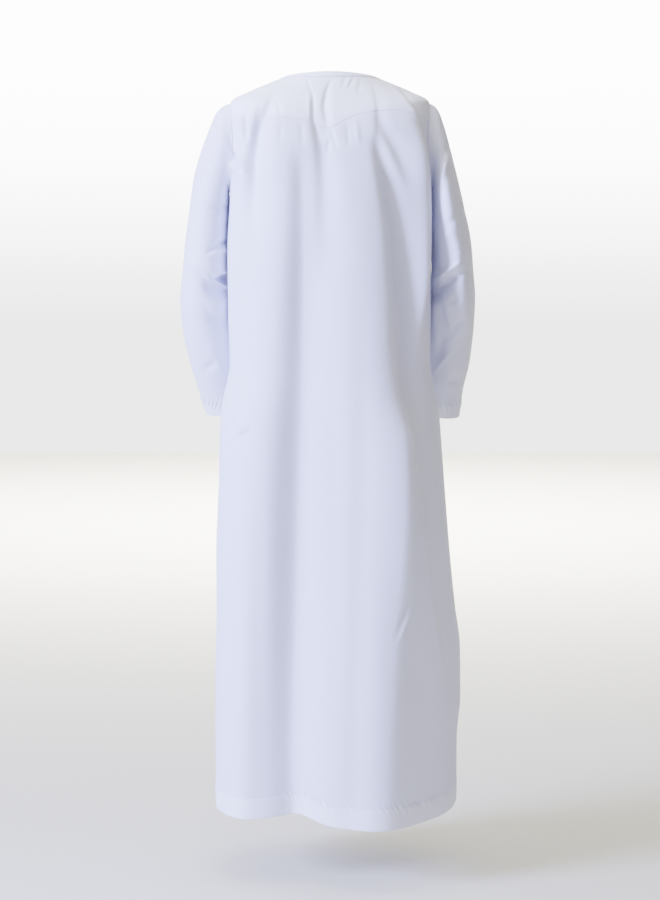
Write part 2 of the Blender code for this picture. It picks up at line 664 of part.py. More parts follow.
def sleeve_point(table, side, station, turn):
    """The sleeve's outer surface: the armhole's own curve, then the table's ovals with their creases."""
    station, turn = np.broadcast_arrays(np.asarray(station, float), np.asarray(turn, float))
    oval = sleeve_table_point(table, side, station, turn)
    middle = sleeve_table_point(table, side, station, 0 * turn)
    middle = (middle + sleeve_table_point(table, side, station, 0 * turn + math.pi)) / 2
    inward = unit(middle - oval)
    degrees = np.degrees(turn) % 360
    for row in SLEEVE_CREASES:
        at, centre, out, width, turn_width, slant = row
        away = (station - at - slant * (degrees - centre)) / width
        round_it = (degrees - centre) / turn_width
        oval = oval - inward * (out * np.exp(-0.5 * (away**2 + round_it**2)))[..., None]
    bearing, drop = armhole_place(turn)
    start = body_point(side * bearing, drop)
    start[..., 0] += side * SEAM_GAP
    blend = smoothstep(0.0, ARMHOLE_BLEND, station)[..., None]
    return start + blend * (oval - start)


def sleeve_lift(station, turn, table, side, lift):
    """Sleeve points at a lift above its outer surface. The rim at the armhole stays in one plane."""
    station, turn = np.broadcast_arrays(np.asarray(station, float), np.asarray(turn, float))
    low, high = np.clip(station - SLOPE_STATION, 0, None), np.clip(station + SLOPE_STATION, None, 1)
    along = sleeve_point(table, side, high, turn) - sleeve_point(table, side, low, turn)
    around = sleeve_point(table, side, station, turn + SLOPE_TWIST)
    around = around - sleeve_point(table, side, station, turn - SLOPE_TWIST)
    outward = unit(np.cross(along, around)) * side
    flat = outward.copy()
    flat[..., 0] = 0
    outward = np.where((station <= 0)[..., None], unit(flat), outward)
    return sleeve_point(table, side, station, turn) + outward * np.asarray(lift, float)[..., None]


def sleeve(name, table, side, cloth):
    turns = np.concatenate([BACK_TURNS[1:], FRONT_TURNS[1:-1][::-1] + 2 * math.pi])
    turns = np.concatenate([turns, SHOULDER_TURNS[::-1] + 2 * math.pi])
    fold = 1 - CUFF_HEM_HEIGHT / SLEEVE_LENGTH
    first, last = FIRST_SLEEVE_STATIONS[-1], fold - FOLD_STEP
    levels = np.linspace(first, last, SLEEVE_STEPS + 1)[1:]
    stations = np.concatenate([FIRST_SLEEVE_STATIONS, levels, [fold + FOLD_STEP, 1]])
    lifts = np.where(stations > fold, HEM_LAYER, 0.0)[:, None] + 0 * turns[None, :]
    outer = sleeve_lift(stations[:, None], turns[None, :], table, side, lifts)
    inner = sleeve_lift(stations[:, None], turns[None, :], table, side, 0 * lifts - WALL)
    return wall(name, outer, inner, cloth, closed=True)


def pocket_bag(name, side, cloth):
    """A flat pouch with cut corners that hangs inside the back panel, made from the panel's points."""
    bearing, drop, lift = back_grid()
    turned = side * np.degrees(bearing[-1])
    columns = np.flatnonzero((turned > POCKET_BEARINGS[0]) & (turned < POCKET_BEARINGS[1]))
    rows = np.flatnonzero((drop[:, 0] > POCKET_DROPS[0]) & (drop[:, 0] < POCKET_DROPS[1]))
    block = np.ix_(rows, columns)
    outer = on_body(bearing[block], drop[block], lift[block] - WALL - SEAM_GAP)
    inner = on_body(bearing[block], drop[block], lift[block] - 2 * WALL - SEAM_GAP)
    active = np.ones((len(rows) - 1, len(columns) - 1), bool)
    active[-1, [0, -1]] = False
    return wall(name, outer, inner, cloth, active)


def main():
    for old in list(bpy.data.objects):
        bpy.data.objects.remove(old, do_unlink=True)
    cloth = material_of("white_cloth", CLOTH_COLOUR, 0.75)
    button_white = material_of("button_white", BUTTON_COLOUR, 0.35)
    neck_binding(cloth)
    yoke(cloth)
    back_panel(cloth)
    front_panel(cloth)
    plackets(cloth)
    buttons(button_white)
    sleeve("sleeve_left", SLEEVE_LEFT, 1, cloth)
    sleeve("sleeve_right", SLEEVE_RIGHT, -1, cloth)
    pocket_bag("pocket_bag_left", 1, cloth)
    pocket_bag("pocket_bag_right", -1, cloth)


main()
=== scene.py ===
"""Thobe robe: its looks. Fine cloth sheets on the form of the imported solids, with their sewing.

Metres, +Z up. The front faces -Y and the wearer's left is +X. The origin is the middle of the neck
opening, level with the neck edge at the centre of the back.

The body is one surface of rings. A place on it has a bearing, the angle round the wearer from the
centre of the back towards +X, and a drop, the height below the neck edge that its ring has at the
centre of the back. A sleeve's place has a station along it and a turn round it.
"""

import json
import math

import bmesh
import bpy
import numpy as np
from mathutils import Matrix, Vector

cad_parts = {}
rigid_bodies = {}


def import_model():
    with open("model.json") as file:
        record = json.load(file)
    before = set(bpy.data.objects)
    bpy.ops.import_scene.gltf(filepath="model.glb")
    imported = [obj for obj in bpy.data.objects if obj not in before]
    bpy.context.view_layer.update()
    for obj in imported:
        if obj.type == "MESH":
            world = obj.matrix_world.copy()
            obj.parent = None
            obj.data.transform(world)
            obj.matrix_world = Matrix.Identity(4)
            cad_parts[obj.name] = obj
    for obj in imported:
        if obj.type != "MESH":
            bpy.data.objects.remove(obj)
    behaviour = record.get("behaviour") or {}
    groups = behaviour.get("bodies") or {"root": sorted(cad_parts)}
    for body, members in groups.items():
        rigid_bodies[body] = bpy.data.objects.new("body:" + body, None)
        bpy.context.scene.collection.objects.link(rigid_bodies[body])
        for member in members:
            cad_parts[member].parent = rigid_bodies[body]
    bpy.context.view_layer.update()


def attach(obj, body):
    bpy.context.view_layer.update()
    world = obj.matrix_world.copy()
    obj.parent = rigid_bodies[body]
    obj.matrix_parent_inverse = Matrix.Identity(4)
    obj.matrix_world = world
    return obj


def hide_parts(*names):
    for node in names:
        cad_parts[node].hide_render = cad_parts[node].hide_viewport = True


# Sizes shared with the solids
SEAM_GAP = 0.0003
BACK_LENGTH = 1.377
HEM_HEIGHT = 0.038
CUFF_HEM_HEIGHT = 0.025
BINDING_WIDTH = 0.011
PLACKET_WIDTH = 0.030
PLACKET_LENGTH = 0.270
SLIT_WIDTH = 0.005
BUTTON_RADIUS = 0.0055
BUTTON_HEIGHT = 0.0024
BUTTON_DROPS = (0.070, 0.150, 0.230)
SLEEVE_LENGTH = 0.66
ARMHOLE_BLEND = 0.11
HEM_LEVEL_FROM = 0.25
FOLD_TAIL = 0.1
ARMHOLE_TOP = 0.090
ARMHOLE_FOOT = 0.219
ARMHOLE_HALF_BEARING = math.radians(21)
BACK_SEAM_TURN = math.radians(54)
FRONT_SEAM_TURN = math.radians(-32)
FRONT_SEAM_NECK_BEARING = math.radians(120)
# Steps of bearing, drop, turn and station over which a surface's slope is read
SLOPE_TURN = 0.004
SLOPE_DROP = 0.0008
SLOPE_TWIST = 0.02
SLOPE_STATION = 0.004

# Cloth layers and sewing
HEM_LIFT = 0.0005
YOKE_LIFT = 0.0003
BINDING_LIFT = 0.0010
BINDING_RADIUS = 0.0008
EDGE_RADIUS = 0.0005
SEAM_TUCK = 0.0006
PLACKET_LIFT = 0.0005
PLACKET_THICKNESS = 0.0012
PLACKET_EDGE_POWER = 24
STITCH_ZONE = 0.008
STITCH_PITCH = 0.0034
STITCH_LENGTH = 0.0024
STITCH_RADIUS = 0.00024
# Share along the stitch, size and rise of its cross-sections
STITCH_SHAPE = ((-0.5, 0.45, -0.4), (-0.25, 1.0, 0.5), (0.25, 1.0, 0.5), (0.5, 0.45, -0.4))
POCKET_BEARINGS = (46.0, 87.0)
POCKET_DROPS = (0.598, 0.862)
POCKET_DEPTH = 0.0022
POCKET_THICKNESS = 0.0010
POCKET_EDGE = 0.06
POCKET_CORNER = 0.035
POCKET_CORNER_POWER = 4
BUTTON_SIDES = 36
# Shares of the radius and of the height, from the back round the rim to the hollow of the face
BUTTON_PROFILE = (
    (0.80, 0.0), (0.97, 0.15), (1.0, 0.40), (0.97, 0.75), (0.86, 1.0), (0.72, 0.86), (0.45, 0.74),
)
BUTTON_THREAD_RISE = 0.12
BUTTON_THREAD_REACH = 0.34

# Where the stitch lines run, and how many points each line is read at
HEM_STITCH_BELOW_FOLD = 0.0016
BINDING_STITCH_UP = 0.0018
NECK_STITCH_GAP = 0.08
YOKE_STITCHES_UP = (0.002, 0.0075)
PLACKET_STITCH_INSET = 0.003
PLACKET_CROSS_STITCHES_UP = (0.004, 0.030)
ARMHOLE_STITCH_STATION = 0.012
HEM_LINE_POINTS = 1400
SEAM_LINE_POINTS = 500
SLEEVE_LINE_POINTS = 400
PLACKET_LINE_POINTS = 160
PLACKET_CROSS_POINTS = 20
OUTWARD_PROBE = 0.001

# Grid divisions
BACK_HALF_COLUMNS = 118
BACK_UPPER_ROWS = 44
BACK_LOWER_ROWS = 290
FRONT_HALF_COLUMNS = 96
FRONT_SEAM_ROWS = 22
FRONT_HOLE_ROWS = 44
FRONT_LOWER_ROWS = 250
STITCH_ZONE_ROWS = 8
HEM_ROWS = 8
CUFF_ROWS = 6
EDGE_ROWS = 4
YOKE_HALF_COLUMNS = 110
YOKE_SHOULDER_COLUMNS = 50
YOKE_ROWS = 44
BINDING_COLUMNS = 300
BINDING_ROWS = 6
CAP_STATION = 0.12
CAP_ROWS = 40
SLEEVE_ROWS = 280
SLEEVE_COLUMNS_AROUND = 180
PLACKET_ROWS = 120
PLACKET_COLUMNS = 24
POCKET_COLUMNS = 40
POCKET_ROWS = 60
# How late the back's rows turn from an even spacing to the armhole's own points, towards the sides
EDGE_ROW_POWER = 4

RING_COLUMNS = (
    "drop", "half_width", "back_depth", "front_depth", "side_drop", "front_drop",
    "centre_x", "centre_y", "squareness",
)
RINGS = (
    (0.000, 0.084, 0.064, 0.082, 0.004, 0.052, 0.000, 0.000, 2.0),
    (0.030, 0.115, 0.086, 0.100, 0.016, 0.078, 0.000, 0.000, 2.1),
    (0.060, 0.151, 0.106, 0.116, 0.032, 0.104, 0.000, 0.002, 2.3),
    (0.090, 0.185, 0.121, 0.130, 0.053, 0.130, 0.000, 0.004, 2.6),
    (0.123, 0.187, 0.133, 0.140, 0.095, 0.154, 0.000, 0.006, 3.0),
    (0.165, 0.186, 0.142, 0.149, 0.152, 0.182, 0.000, 0.008, 3.0),
    (0.234, 0.187, 0.146, 0.157, 0.234, 0.236, 0.000, 0.012, 2.5),
    (0.319, 0.190, 0.142, 0.160, 0.319, 0.319, 0.001, 0.020, 2.3),
    (0.439, 0.189, 0.138, 0.162, 0.439, 0.439, 0.001, 0.028, 2.2),
    (0.534, 0.187, 0.138, 0.163, 0.534, 0.534, 0.000, 0.032, 2.2),
    (0.629, 0.204, 0.142, 0.165, 0.629, 0.629, 0.000, 0.034, 2.2),
    (0.759, 0.211, 0.150, 0.172, 0.759, 0.759, -0.003, 0.032, 2.2),
    (0.869, 0.218, 0.158, 0.178, 0.869, 0.869, -0.005, 0.028, 2.2),
    (0.989, 0.224, 0.168, 0.184, 0.989, 0.989, -0.011, 0.024, 2.2),
    (1.069, 0.230, 0.174, 0.188, 1.069, 1.069, -0.015, 0.020, 2.2),
    (1.159, 0.231, 0.180, 0.192, 1.159, 1.159, -0.015, 0.018, 2.2),
    (1.239, 0.228, 0.186, 0.195, 1.239, 1.239, -0.012, 0.014, 2.2),
    (1.377, 0.227, 0.196, 0.200, 1.377, 1.377, -0.012, 0.010, 2.2),
)

# The back yoke seam between the armholes, which dips to a point at the centre
YOKE_SEAM_COLUMNS = ("bearing_degrees", "drop")
YOKE_SEAM = (
    (-62.0, 0.110),
    (-49.0, 0.097),
    (-36.0, 0.092),
    (-24.0, 0.091),
    (-10.0, 0.100),
    (0.0, 0.110),
    (13.0, 0.103),
    (22.0, 0.0995),
    (36.0, 0.1015),
    (47.0, 0.104),
)

# How far the hem rises above its level, round the robe
HEM_RISE_COLUMNS = ("bearing_degrees", "rise")
HEM_RISE = (
    (-180.0, 0.006),
    (-140.0, 0.014),
    (-110.0, 0.012),
    (-90.0, 0.021),
    (-60.0, 0.008),
    (-20.0, 0.000),
    (0.0, 0.003),
    (24.0, 0.016),
    (50.0, 0.008),
    (80.0, 0.011),
    (110.0, 0.014),
    (145.0, 0.005),
    (180.0, 0.006),
)

# Folds of the body. Each row gives where the fold lies at one height: how far across it is, how far
# it stands out (or, below zero, in), and how wide its +X and -X slopes are.
FOLD_COLUMNS = ("height", "across", "out", "left_width", "right_width")
BACK_FOLDS = {
    "left valley": (
        (-0.134, 0.052, 0.000, 0.014, 0.020),
        (-0.201, 0.050, -0.010, 0.014, 0.026),
        (-0.300, 0.049, -0.016, 0.017, 0.032),
        (-0.420, 0.050, -0.024, 0.021, 0.038),
        (-0.580, 0.053, -0.030, 0.026, 0.044),
        (-0.706, 0.058, -0.035, 0.029, 0.048),
        (-0.833, 0.063, -0.039, 0.031, 0.050),
        (-0.978, 0.069, -0.043, 0.032, 0.052),
        (-1.123, 0.076, -0.046, 0.033, 0.054),
        (-1.268, 0.080, -0.048, 0.034, 0.056),
        (-1.353, 0.079, -0.052, 0.034, 0.056),
    ),
    "centre ridge": (
        (-0.163, -0.070, 0.000, 0.040, 0.016),
        (-0.235, -0.088, 0.005, 0.046, 0.013),
        (-0.340, -0.098, 0.009, 0.052, 0.013),
        (-0.450, -0.106, 0.013, 0.058, 0.014),
        (-0.560, -0.112, 0.016, 0.060, 0.016),
        (-0.690, -0.124, 0.020, 0.064, 0.019),
        (-0.800, -0.122, 0.022, 0.066, 0.024),
        (-0.900, -0.116, 0.023, 0.068, 0.027),
        (-1.113, -0.104, 0.023, 0.070, 0.034),
        (-1.353, -0.092, 0.022, 0.070, 0.040),
    ),
    "right valley": (
        (-0.124, -0.080, 0.000, 0.008, 0.009),
        (-0.170, -0.094, -0.008, 0.009, 0.011),
        (-0.220, -0.107, -0.014, 0.010, 0.012),
        (-0.297, -0.120, -0.019, 0.011, 0.012),
        (-0.400, -0.133, -0.024, 0.014, 0.012),
        (-0.500, -0.142, -0.026, 0.017, 0.012),
        (-0.580, -0.150, -0.020, 0.018, 0.012),
        (-0.662, -0.159, 0.000, 0.020, 0.013),
    ),
    "neck fold": (
        (-0.048, 0.031, 0.000, 0.008, 0.010),
        (-0.090, 0.025, -0.004, 0.008, 0.012),
        (-0.140, 0.015, -0.008, 0.009, 0.014),
        (-0.200, 0.010, -0.009, 0.011, 0.016),
        (-0.290, 0.006, -0.007, 0.014, 0.022),
        (-0.420, -0.002, 0.000, 0.018, 0.026),
    ),
    "left shoulder fold": (
        (-0.030, 0.098, 0.000, 0.006, 0.008),
        (-0.060, 0.110, -0.005, 0.006, 0.010),
        (-0.090, 0.122, -0.009, 0.006, 0.012),
        (-0.130, 0.134, -0.011, 0.008, 0.015),
        (-0.190, 0.143, -0.010, 0.010, 0.018),
        (-0.370, 0.146, 0.000, 0.016, 0.020),
    ),
    "left side swell": (
        (-0.585, 0.134, 0.000, 0.040, 0.030),
        (-0.873, 0.139, 0.006, 0.040, 0.030),
        (-1.353, 0.144, 0.012, 0.046, 0.030),
    ),
    "right side drape": (
        (-0.050, -0.138, 0.000, 0.014, 0.008),
        (-0.110, -0.155, 0.009, 0.017, 0.008),
        (-0.200, -0.161, 0.016, 0.019, 0.008),
        (-0.370, -0.161, 0.016, 0.018, 0.008),
        (-0.460, -0.158, 0.012, 0.013, 0.009),
        (-0.570, -0.157, 0.000, 0.007, 0.008),
    ),
    "right skirt fold": (
        (-0.600, -0.128, 0.000, 0.030, 0.009),
        (-0.680, -0.134, 0.010, 0.034, 0.009),
        (-0.780, -0.144, 0.015, 0.036, 0.009),
        (-0.900, -0.162, 0.016, 0.036, 0.009),
        (-1.000, -0.178, 0.013, 0.034, 0.010),
        (-1.110, -0.194, 0.008, 0.030, 0.012),
        (-1.276, -0.205, 0.000, 0.026, 0.014),
    ),
}
FRONT_FOLDS = {
    "left chest fold": (
        (-0.153, 0.080, 0.000, 0.012, 0.014),
        (-0.316, 0.092, -0.010, 0.014, 0.018),
        (-0.604, 0.094, -0.016, 0.018, 0.026),
        (-0.969, 0.088, -0.024, 0.024, 0.034),
        (-1.353, 0.082, -0.032, 0.028, 0.040),
    ),
    "right chest fold": (
        (-0.144, -0.076, 0.000, 0.012, 0.012),
        (-0.297, -0.090, -0.011, 0.016, 0.014),
        (-0.547, -0.098, -0.014, 0.022, 0.018),
        (-0.921, -0.078, -0.022, 0.034, 0.024),
        (-1.353, -0.072, -0.036, 0.042, 0.028),
    ),
    "centre swell": (
        (-0.489, 0.005, 0.000, 0.040, 0.040),
        (-0.873, 0.008, 0.008, 0.036, 0.036),
        (-1.353, 0.010, 0.014, 0.034, 0.034),
    ),
    "left skirt valley": (
        (-0.681, 0.165, 0.000, 0.016, 0.020),
        (-1.017, 0.160, -0.012, 0.018, 0.022),
        (-1.353, 0.158, -0.022, 0.020, 0.024),
    ),
    "right skirt valley": (
        (-0.604, -0.160, 0.000, 0.020, 0.016),
        (-0.969, -0.168, -0.014, 0.022, 0.018),
        (-1.353, -0.160, -0.020, 0.024, 0.020),
    ),
}

# Sleeves. Each ring is an oval between an outer point, away from the body, and an inner one.
SLEEVE_COLUMNS = (
    "station", "outer_x", "outer_z", "inner_x", "inner_z", "centre_y", "half_depth", "tilt",
)
SLEEVE_LEFT = (
    (0.00, 0.187, -0.052, 0.190, -0.219, 0.004, 0.070, 0.00),
    (0.06, 0.206, -0.060, 0.1908, -0.2215, 0.004, 0.073, 0.00),
    (0.13, 0.2195, -0.085, 0.1879, -0.228, 0.000, 0.075, 0.00),
    (0.20, 0.231, -0.112, 0.1878, -0.239, -0.006, 0.077, 0.00),
    (0.27, 0.2425, -0.142, 0.1878, -0.254, -0.012, 0.078, 0.00),
    (0.35, 0.2560, -0.189, 0.1880, -0.276, -0.018, 0.077, 0.00),
    (0.44, 0.265, -0.249, 0.1884, -0.308, -0.023, 0.076, 0.00),
    (0.53, 0.273, -0.306, 0.1882, -0.346, -0.026, 0.074, 0.02),
    (0.61, 0.2785, -0.362, 0.1875, -0.386, -0.028, 0.071, 0.06),
    (0.69, 0.2840, -0.419, 0.1865, -0.429, -0.034, 0.067, 0.12),
    (0.77, 0.2800, -0.475, 0.1810, -0.477, -0.052, 0.062, 0.22),
    (0.85, 0.2695, -0.532, 0.1720, -0.529, -0.080, 0.057, 0.30),
    (0.93, 0.2550, -0.589, 0.1590, -0.581, -0.114, 0.052, 0.26),
    (1.00, 0.2420, -0.635, 0.1460, -0.623, -0.142, 0.049, 0.20),
)
SLEEVE_RIGHT = (
    (0.00, 0.187, -0.052, 0.190, -0.219, 0.004, 0.070, 0.00),
    (0.06, 0.199, -0.059, 0.1920, -0.2215, 0.004, 0.073, 0.00),
    (0.13, 0.209, -0.084, 0.1883, -0.228, 0.008, 0.076, 0.00),
    (0.20, 0.217, -0.111, 0.1882, -0.239, 0.016, 0.078, 0.00),
    (0.27, 0.2245, -0.142, 0.1886, -0.254, 0.022, 0.080, 0.00),
    (0.35, 0.2360, -0.189, 0.1889, -0.276, 0.024, 0.080, 0.00),
    (0.44, 0.249, -0.249, 0.1891, -0.308, 0.024, 0.078, 0.00),
    (0.53, 0.262, -0.306, 0.1892, -0.346, 0.020, 0.076, 0.02),
    (0.61, 0.268, -0.362, 0.1892, -0.386, 0.012, 0.072, 0.06),
    (0.69, 0.2730, -0.419, 0.1860, -0.429, -0.006, 0.068, 0.12),
    (0.77, 0.2720, -0.475, 0.1830, -0.477, -0.036, 0.063, 0.22),
    (0.85, 0.2680, -0.532, 0.1770, -0.529, -0.074, 0.058, 0.30),
    (0.93, 0.2580, -0.589, 0.1670, -0.581, -0.116, 0.052, 0.26),
    (1.00, 0.2525, -0.641, 0.1580, -0.627, -0.144, 0.049, 0.20),
)

# Creases of both sleeves. Turns go round the sleeve: 0 outside, 90 back, 180 inside, 270 front.
# Columns: station, turn in degrees, rise, width along the sleeve, width round it in degrees, slant
SLEEVE_CREASES = (
    (0.635, 122.0, -0.014, 0.020, 28.0, 0.0002),
    (0.590, 115.0, 0.004, 0.022, 30.0, 0.0002),
    (0.685, 112.0, 0.004, 0.024, 30.0, -0.0002),
    (0.540, 250.0, -0.008, 0.022, 30.0, -0.0003),
    (0.740, 250.0, -0.008, 0.024, 40.0, 0.0003),
)

# Further folds that only the fine sheets have room for
SMALL_BACK_FOLDS = {
    "neck crease": (
        (-0.012, -0.005, 0.0000, 0.004, 0.004),
        (-0.038, 0.005, -0.0035, 0.004, 0.005),
        (-0.071, 0.010, -0.0050, 0.004, 0.006),
        (-0.094, 0.006, -0.0040, 0.005, 0.006),
        (-0.130, 0.003, 0.0000, 0.006, 0.007),
    ),
    "drape ridge": (
        (-0.100, -0.158, 0.000, 0.008, 0.006),
        (-0.160, -0.161, 0.008, 0.009, 0.006),
        (-0.300, -0.163, 0.012, 0.009, 0.006),
        (-0.400, -0.160, 0.011, 0.008, 0.006),
        (-0.480, -0.156, 0.007, 0.006, 0.006),
        (-0.560, -0.155, 0.000, 0.005, 0.006),
    ),
    "drape crease": (
        (-0.070, -0.086, 0.0000, 0.006, 0.008),
        (-0.095, -0.093, -0.0025, 0.007, 0.009),
        (-0.133, -0.112, -0.0050, 0.009, 0.012),
        (-0.179, -0.134, -0.0045, 0.009, 0.012),
        (-0.229, -0.146, 0.0000, 0.008, 0.010),
    ),
    "right neck fold": (
        (-0.014, -0.078, 0.0000, 0.004, 0.007),
        (-0.050, -0.085, -0.0020, 0.004, 0.009),
        (-0.090, -0.089, -0.0022, 0.005, 0.010),
        (-0.130, -0.088, -0.0020, 0.006, 0.010),
        (-0.190, -0.092, 0.0000, 0.006, 0.010),
    ),
    "left seam crease": (
        (-0.049, 0.124, 0.000, 0.004, 0.005),
        (-0.097, 0.134, -0.0045, 0.004, 0.005),
        (-0.169, 0.145, -0.0045, 0.005, 0.007),
        (-0.349, 0.149, 0.000, 0.008, 0.010),
    ),
    "centre left fold": (
        (-0.469, 0.018, 0.000, 0.014, 0.016),
        (-0.749, 0.022, 0.0033, 0.016, 0.018),
        (-1.089, 0.026, 0.0045, 0.018, 0.020),
        (-1.389, 0.028, 0.0054, 0.020, 0.022),
    ),
    "centre right fold": (
        (-0.409, -0.050, 0.000, 0.012, 0.012),
        (-0.689, -0.058, -0.0030, 0.014, 0.014),
        (-1.039, -0.050, -0.0045, 0.016, 0.016),
        (-1.389, -0.040, -0.0060, 0.018, 0.018),
    ),
    "left skirt crease": (
        (-0.689, 0.128, 0.000, 0.009, 0.010),
        (-0.969, 0.132, -0.0036, 0.010, 0.012),
        (-1.389, 0.134, -0.0066, 0.012, 0.014),
    ),
}
SMALL_FRONT_FOLDS = {
    "left neck crease": (
        (-0.079, 0.040, 0.000, 0.006, 0.006),
        (-0.149, 0.052, -0.0042, 0.006, 0.008),
        (-0.289, 0.058, 0.000, 0.010, 0.010),
    ),
    "right neck crease": (
        (-0.079, -0.038, 0.000, 0.006, 0.006),
        (-0.159, -0.050, -0.0045, 0.008, 0.006),
        (-0.309, -0.054, 0.000, 0.010, 0.010),
    ),
    "left waist crease": (
        (-0.449, 0.040, 0.000, 0.012, 0.012),
        (-0.789, 0.046, -0.0045, 0.014, 0.014),
        (-1.389, 0.050, -0.0075, 0.018, 0.018),
    ),
    "right waist crease": (
        (-0.509, -0.036, 0.000, 0.012, 0.012),
        (-0.889, -0.042, -0.0045, 0.014, 0.014),
        (-1.389, -0.046, -0.0075, 0.018, 0.018),
    ),
    "right hip crease": (
        (-0.629, -0.130, 0.000, 0.010, 0.010),
        (-0.949, -0.128, -0.0045, 0.012, 0.012),
        (-1.389, -0.120, -0.0060, 0.014, 0.014),
    ),
}

# Short creases, each between two points. On both sleeves x counts outwards from the middle.
# Columns: start x, start z, end x, end z, how far it stands out, width
BACK_STROKES = (
    # gathers under the neck strip
    (0.0420, -0.0140, 0.0310, -0.0500, -0.0018, 0.0028),
    (0.0310, -0.0500, 0.0310, -0.0940, -0.0028, 0.0030),
    (0.0310, -0.0940, 0.0220, -0.1340, -0.0034, 0.0034),
    (0.0385, -0.0460, 0.0370, -0.0900, 0.0018, 0.0030),
    (-0.0300, -0.0120, -0.0220, -0.0340, -0.0013, 0.0026),
    (-0.0440, -0.0130, -0.0330, -0.0340, -0.0013, 0.0026),
    (-0.0370, -0.0120, -0.0280, -0.0340, 0.0008, 0.0026),
    (-0.0560, -0.0180, -0.0520, -0.0460, -0.0014, 0.0030),
    (0.0890, -0.0840, 0.0960, -0.0610, -0.0022, 0.0034),
    # edge of the fold that falls from the neck to the right armhole
    (-0.1140, -0.0200, -0.1480, -0.0710, 0.0020, 0.0040),
    (-0.1200, -0.0180, -0.1540, -0.0690, -0.0022, 0.0040),
    (-0.1480, -0.0710, -0.1630, -0.0940, 0.0030, 0.0040),
    (-0.1540, -0.0690, -0.1680, -0.0920, -0.0034, 0.0040),
    # crease beside the left armhole
    (0.1560, -0.0830, 0.1530, -0.1280, -0.0050, 0.0030),
    (0.1615, -0.0850, 0.1585, -0.1280, 0.0034, 0.0030),
    # puckers at the yoke's point and below its seam
    (-0.002, -0.1150, 0.004, -0.1540, -0.0027, 0.0032),
    (-0.003, -0.1160, -0.012, -0.1490, -0.0020, 0.0030),
    (-0.001, -0.1150, 0.001, -0.1390, 0.0017, 0.0026),
    (-0.030, -0.1030, -0.034, -0.1390, -0.0017, 0.0034),
    (-0.046, -0.0990, -0.052, -0.1390, 0.0017, 0.0036),
    (0.052, -0.1050, 0.050, -0.1390, -0.0017, 0.0036),
    (0.090, -0.0990, 0.090, -0.1350, -0.0014, 0.0036),
    # left pocket's mouth and the dent below it
    (0.1772, -0.5694, 0.1650, -0.6146, 0.0037, 0.0030),
    (0.1735, -0.5794, 0.1600, -0.6246, -0.0034, 0.0036),
    (0.1675, -0.6708, 0.1828, -0.6327, -0.0041, 0.0044),
    (0.1675, -0.6708, 0.1503, -0.6636, -0.0041, 0.0050),
    (0.1700, -0.6608, 0.1500, -0.6490, 0.0027, 0.0050),
    # left pocket bag's edge
    (0.1976, -0.7362, 0.1833, -0.8162, 0.0015, 0.0026),
    (0.1833, -0.8162, 0.1634, -0.8544, 0.0015, 0.0026),
    (0.1970, -0.8870, 0.1829, -1.0051, 0.0020, 0.0030),
    (0.1829, -1.0051, 0.1830, -1.0617, 0.0017, 0.0030),
    # right pocket bag's edges
    (-0.1340, -0.6273, -0.1487, -0.7489, 0.0037, 0.0036),
    (-0.1487, -0.7489, -0.1616, -0.8326, 0.0037, 0.0036),
    (-0.1616, -0.8326, -0.1690, -0.8763, 0.0034, 0.0034),
    (-0.1690, -0.8763, -0.1801, -0.9567, 0.0034, 0.0036),
    (-0.1801, -0.9567, -0.1875, -1.0262, 0.0031, 0.0038),
    (-0.1875, -1.0262, -0.2023, -1.0959, 0.0027, 0.0040),
    (-0.2013, -0.7398, -0.1725, -0.8581, 0.0024, 0.0030),
    # short creases low on the right
    (-0.1375, -0.9760, -0.1177, -1.0343, 0.0018, 0.0040),
    (-0.1330, -0.9740, -0.1130, -1.0323, -0.0016, 0.0044),
    (-0.2253, -1.2537, -0.1965, -1.3401, -0.0027, 0.0050),
    (-0.2190, -1.2590, -0.1900, -1.3401, 0.0020, 0.0050),
    # pulls at the left armhole
    (0.1775, -0.1560, 0.1660, -0.1830, -0.0220, 0.0030),
    (0.1825, -0.1600, 0.1715, -0.1870, 0.0080, 0.0034),
    (0.1706, -0.1493, 0.1525, -0.1962, 0.0050, 0.0050),
)
FRONT_STROKES = (
    (0.060, -0.4090, 0.120, -0.3890, -0.0034, 0.0060),
    (-0.060, -0.4290, -0.124, -0.4010, -0.0037, 0.0060),
    (0.150, -0.5790, 0.172, -0.6290, 0.0031, 0.0036),
    (-0.150, -0.5790, -0.172, -0.6290, 0.0031, 0.0036),
    (0.172, -0.2390, 0.120, -0.2790, -0.0051, 0.0060),
    (-0.172, -0.2390, -0.122, -0.2850, -0.0051, 0.0060),
    (0.168, -0.2510, 0.130, -0.3090, 0.0034, 0.0060),
    (-0.168, -0.2510, -0.132, -0.3150, 0.0034, 0.0060),
    (0.110, -0.6290, 0.060, -0.6890, -0.0027, 0.0070),
    (-0.100, -0.6490, -0.052, -0.7190, -0.0027, 0.0070),
)
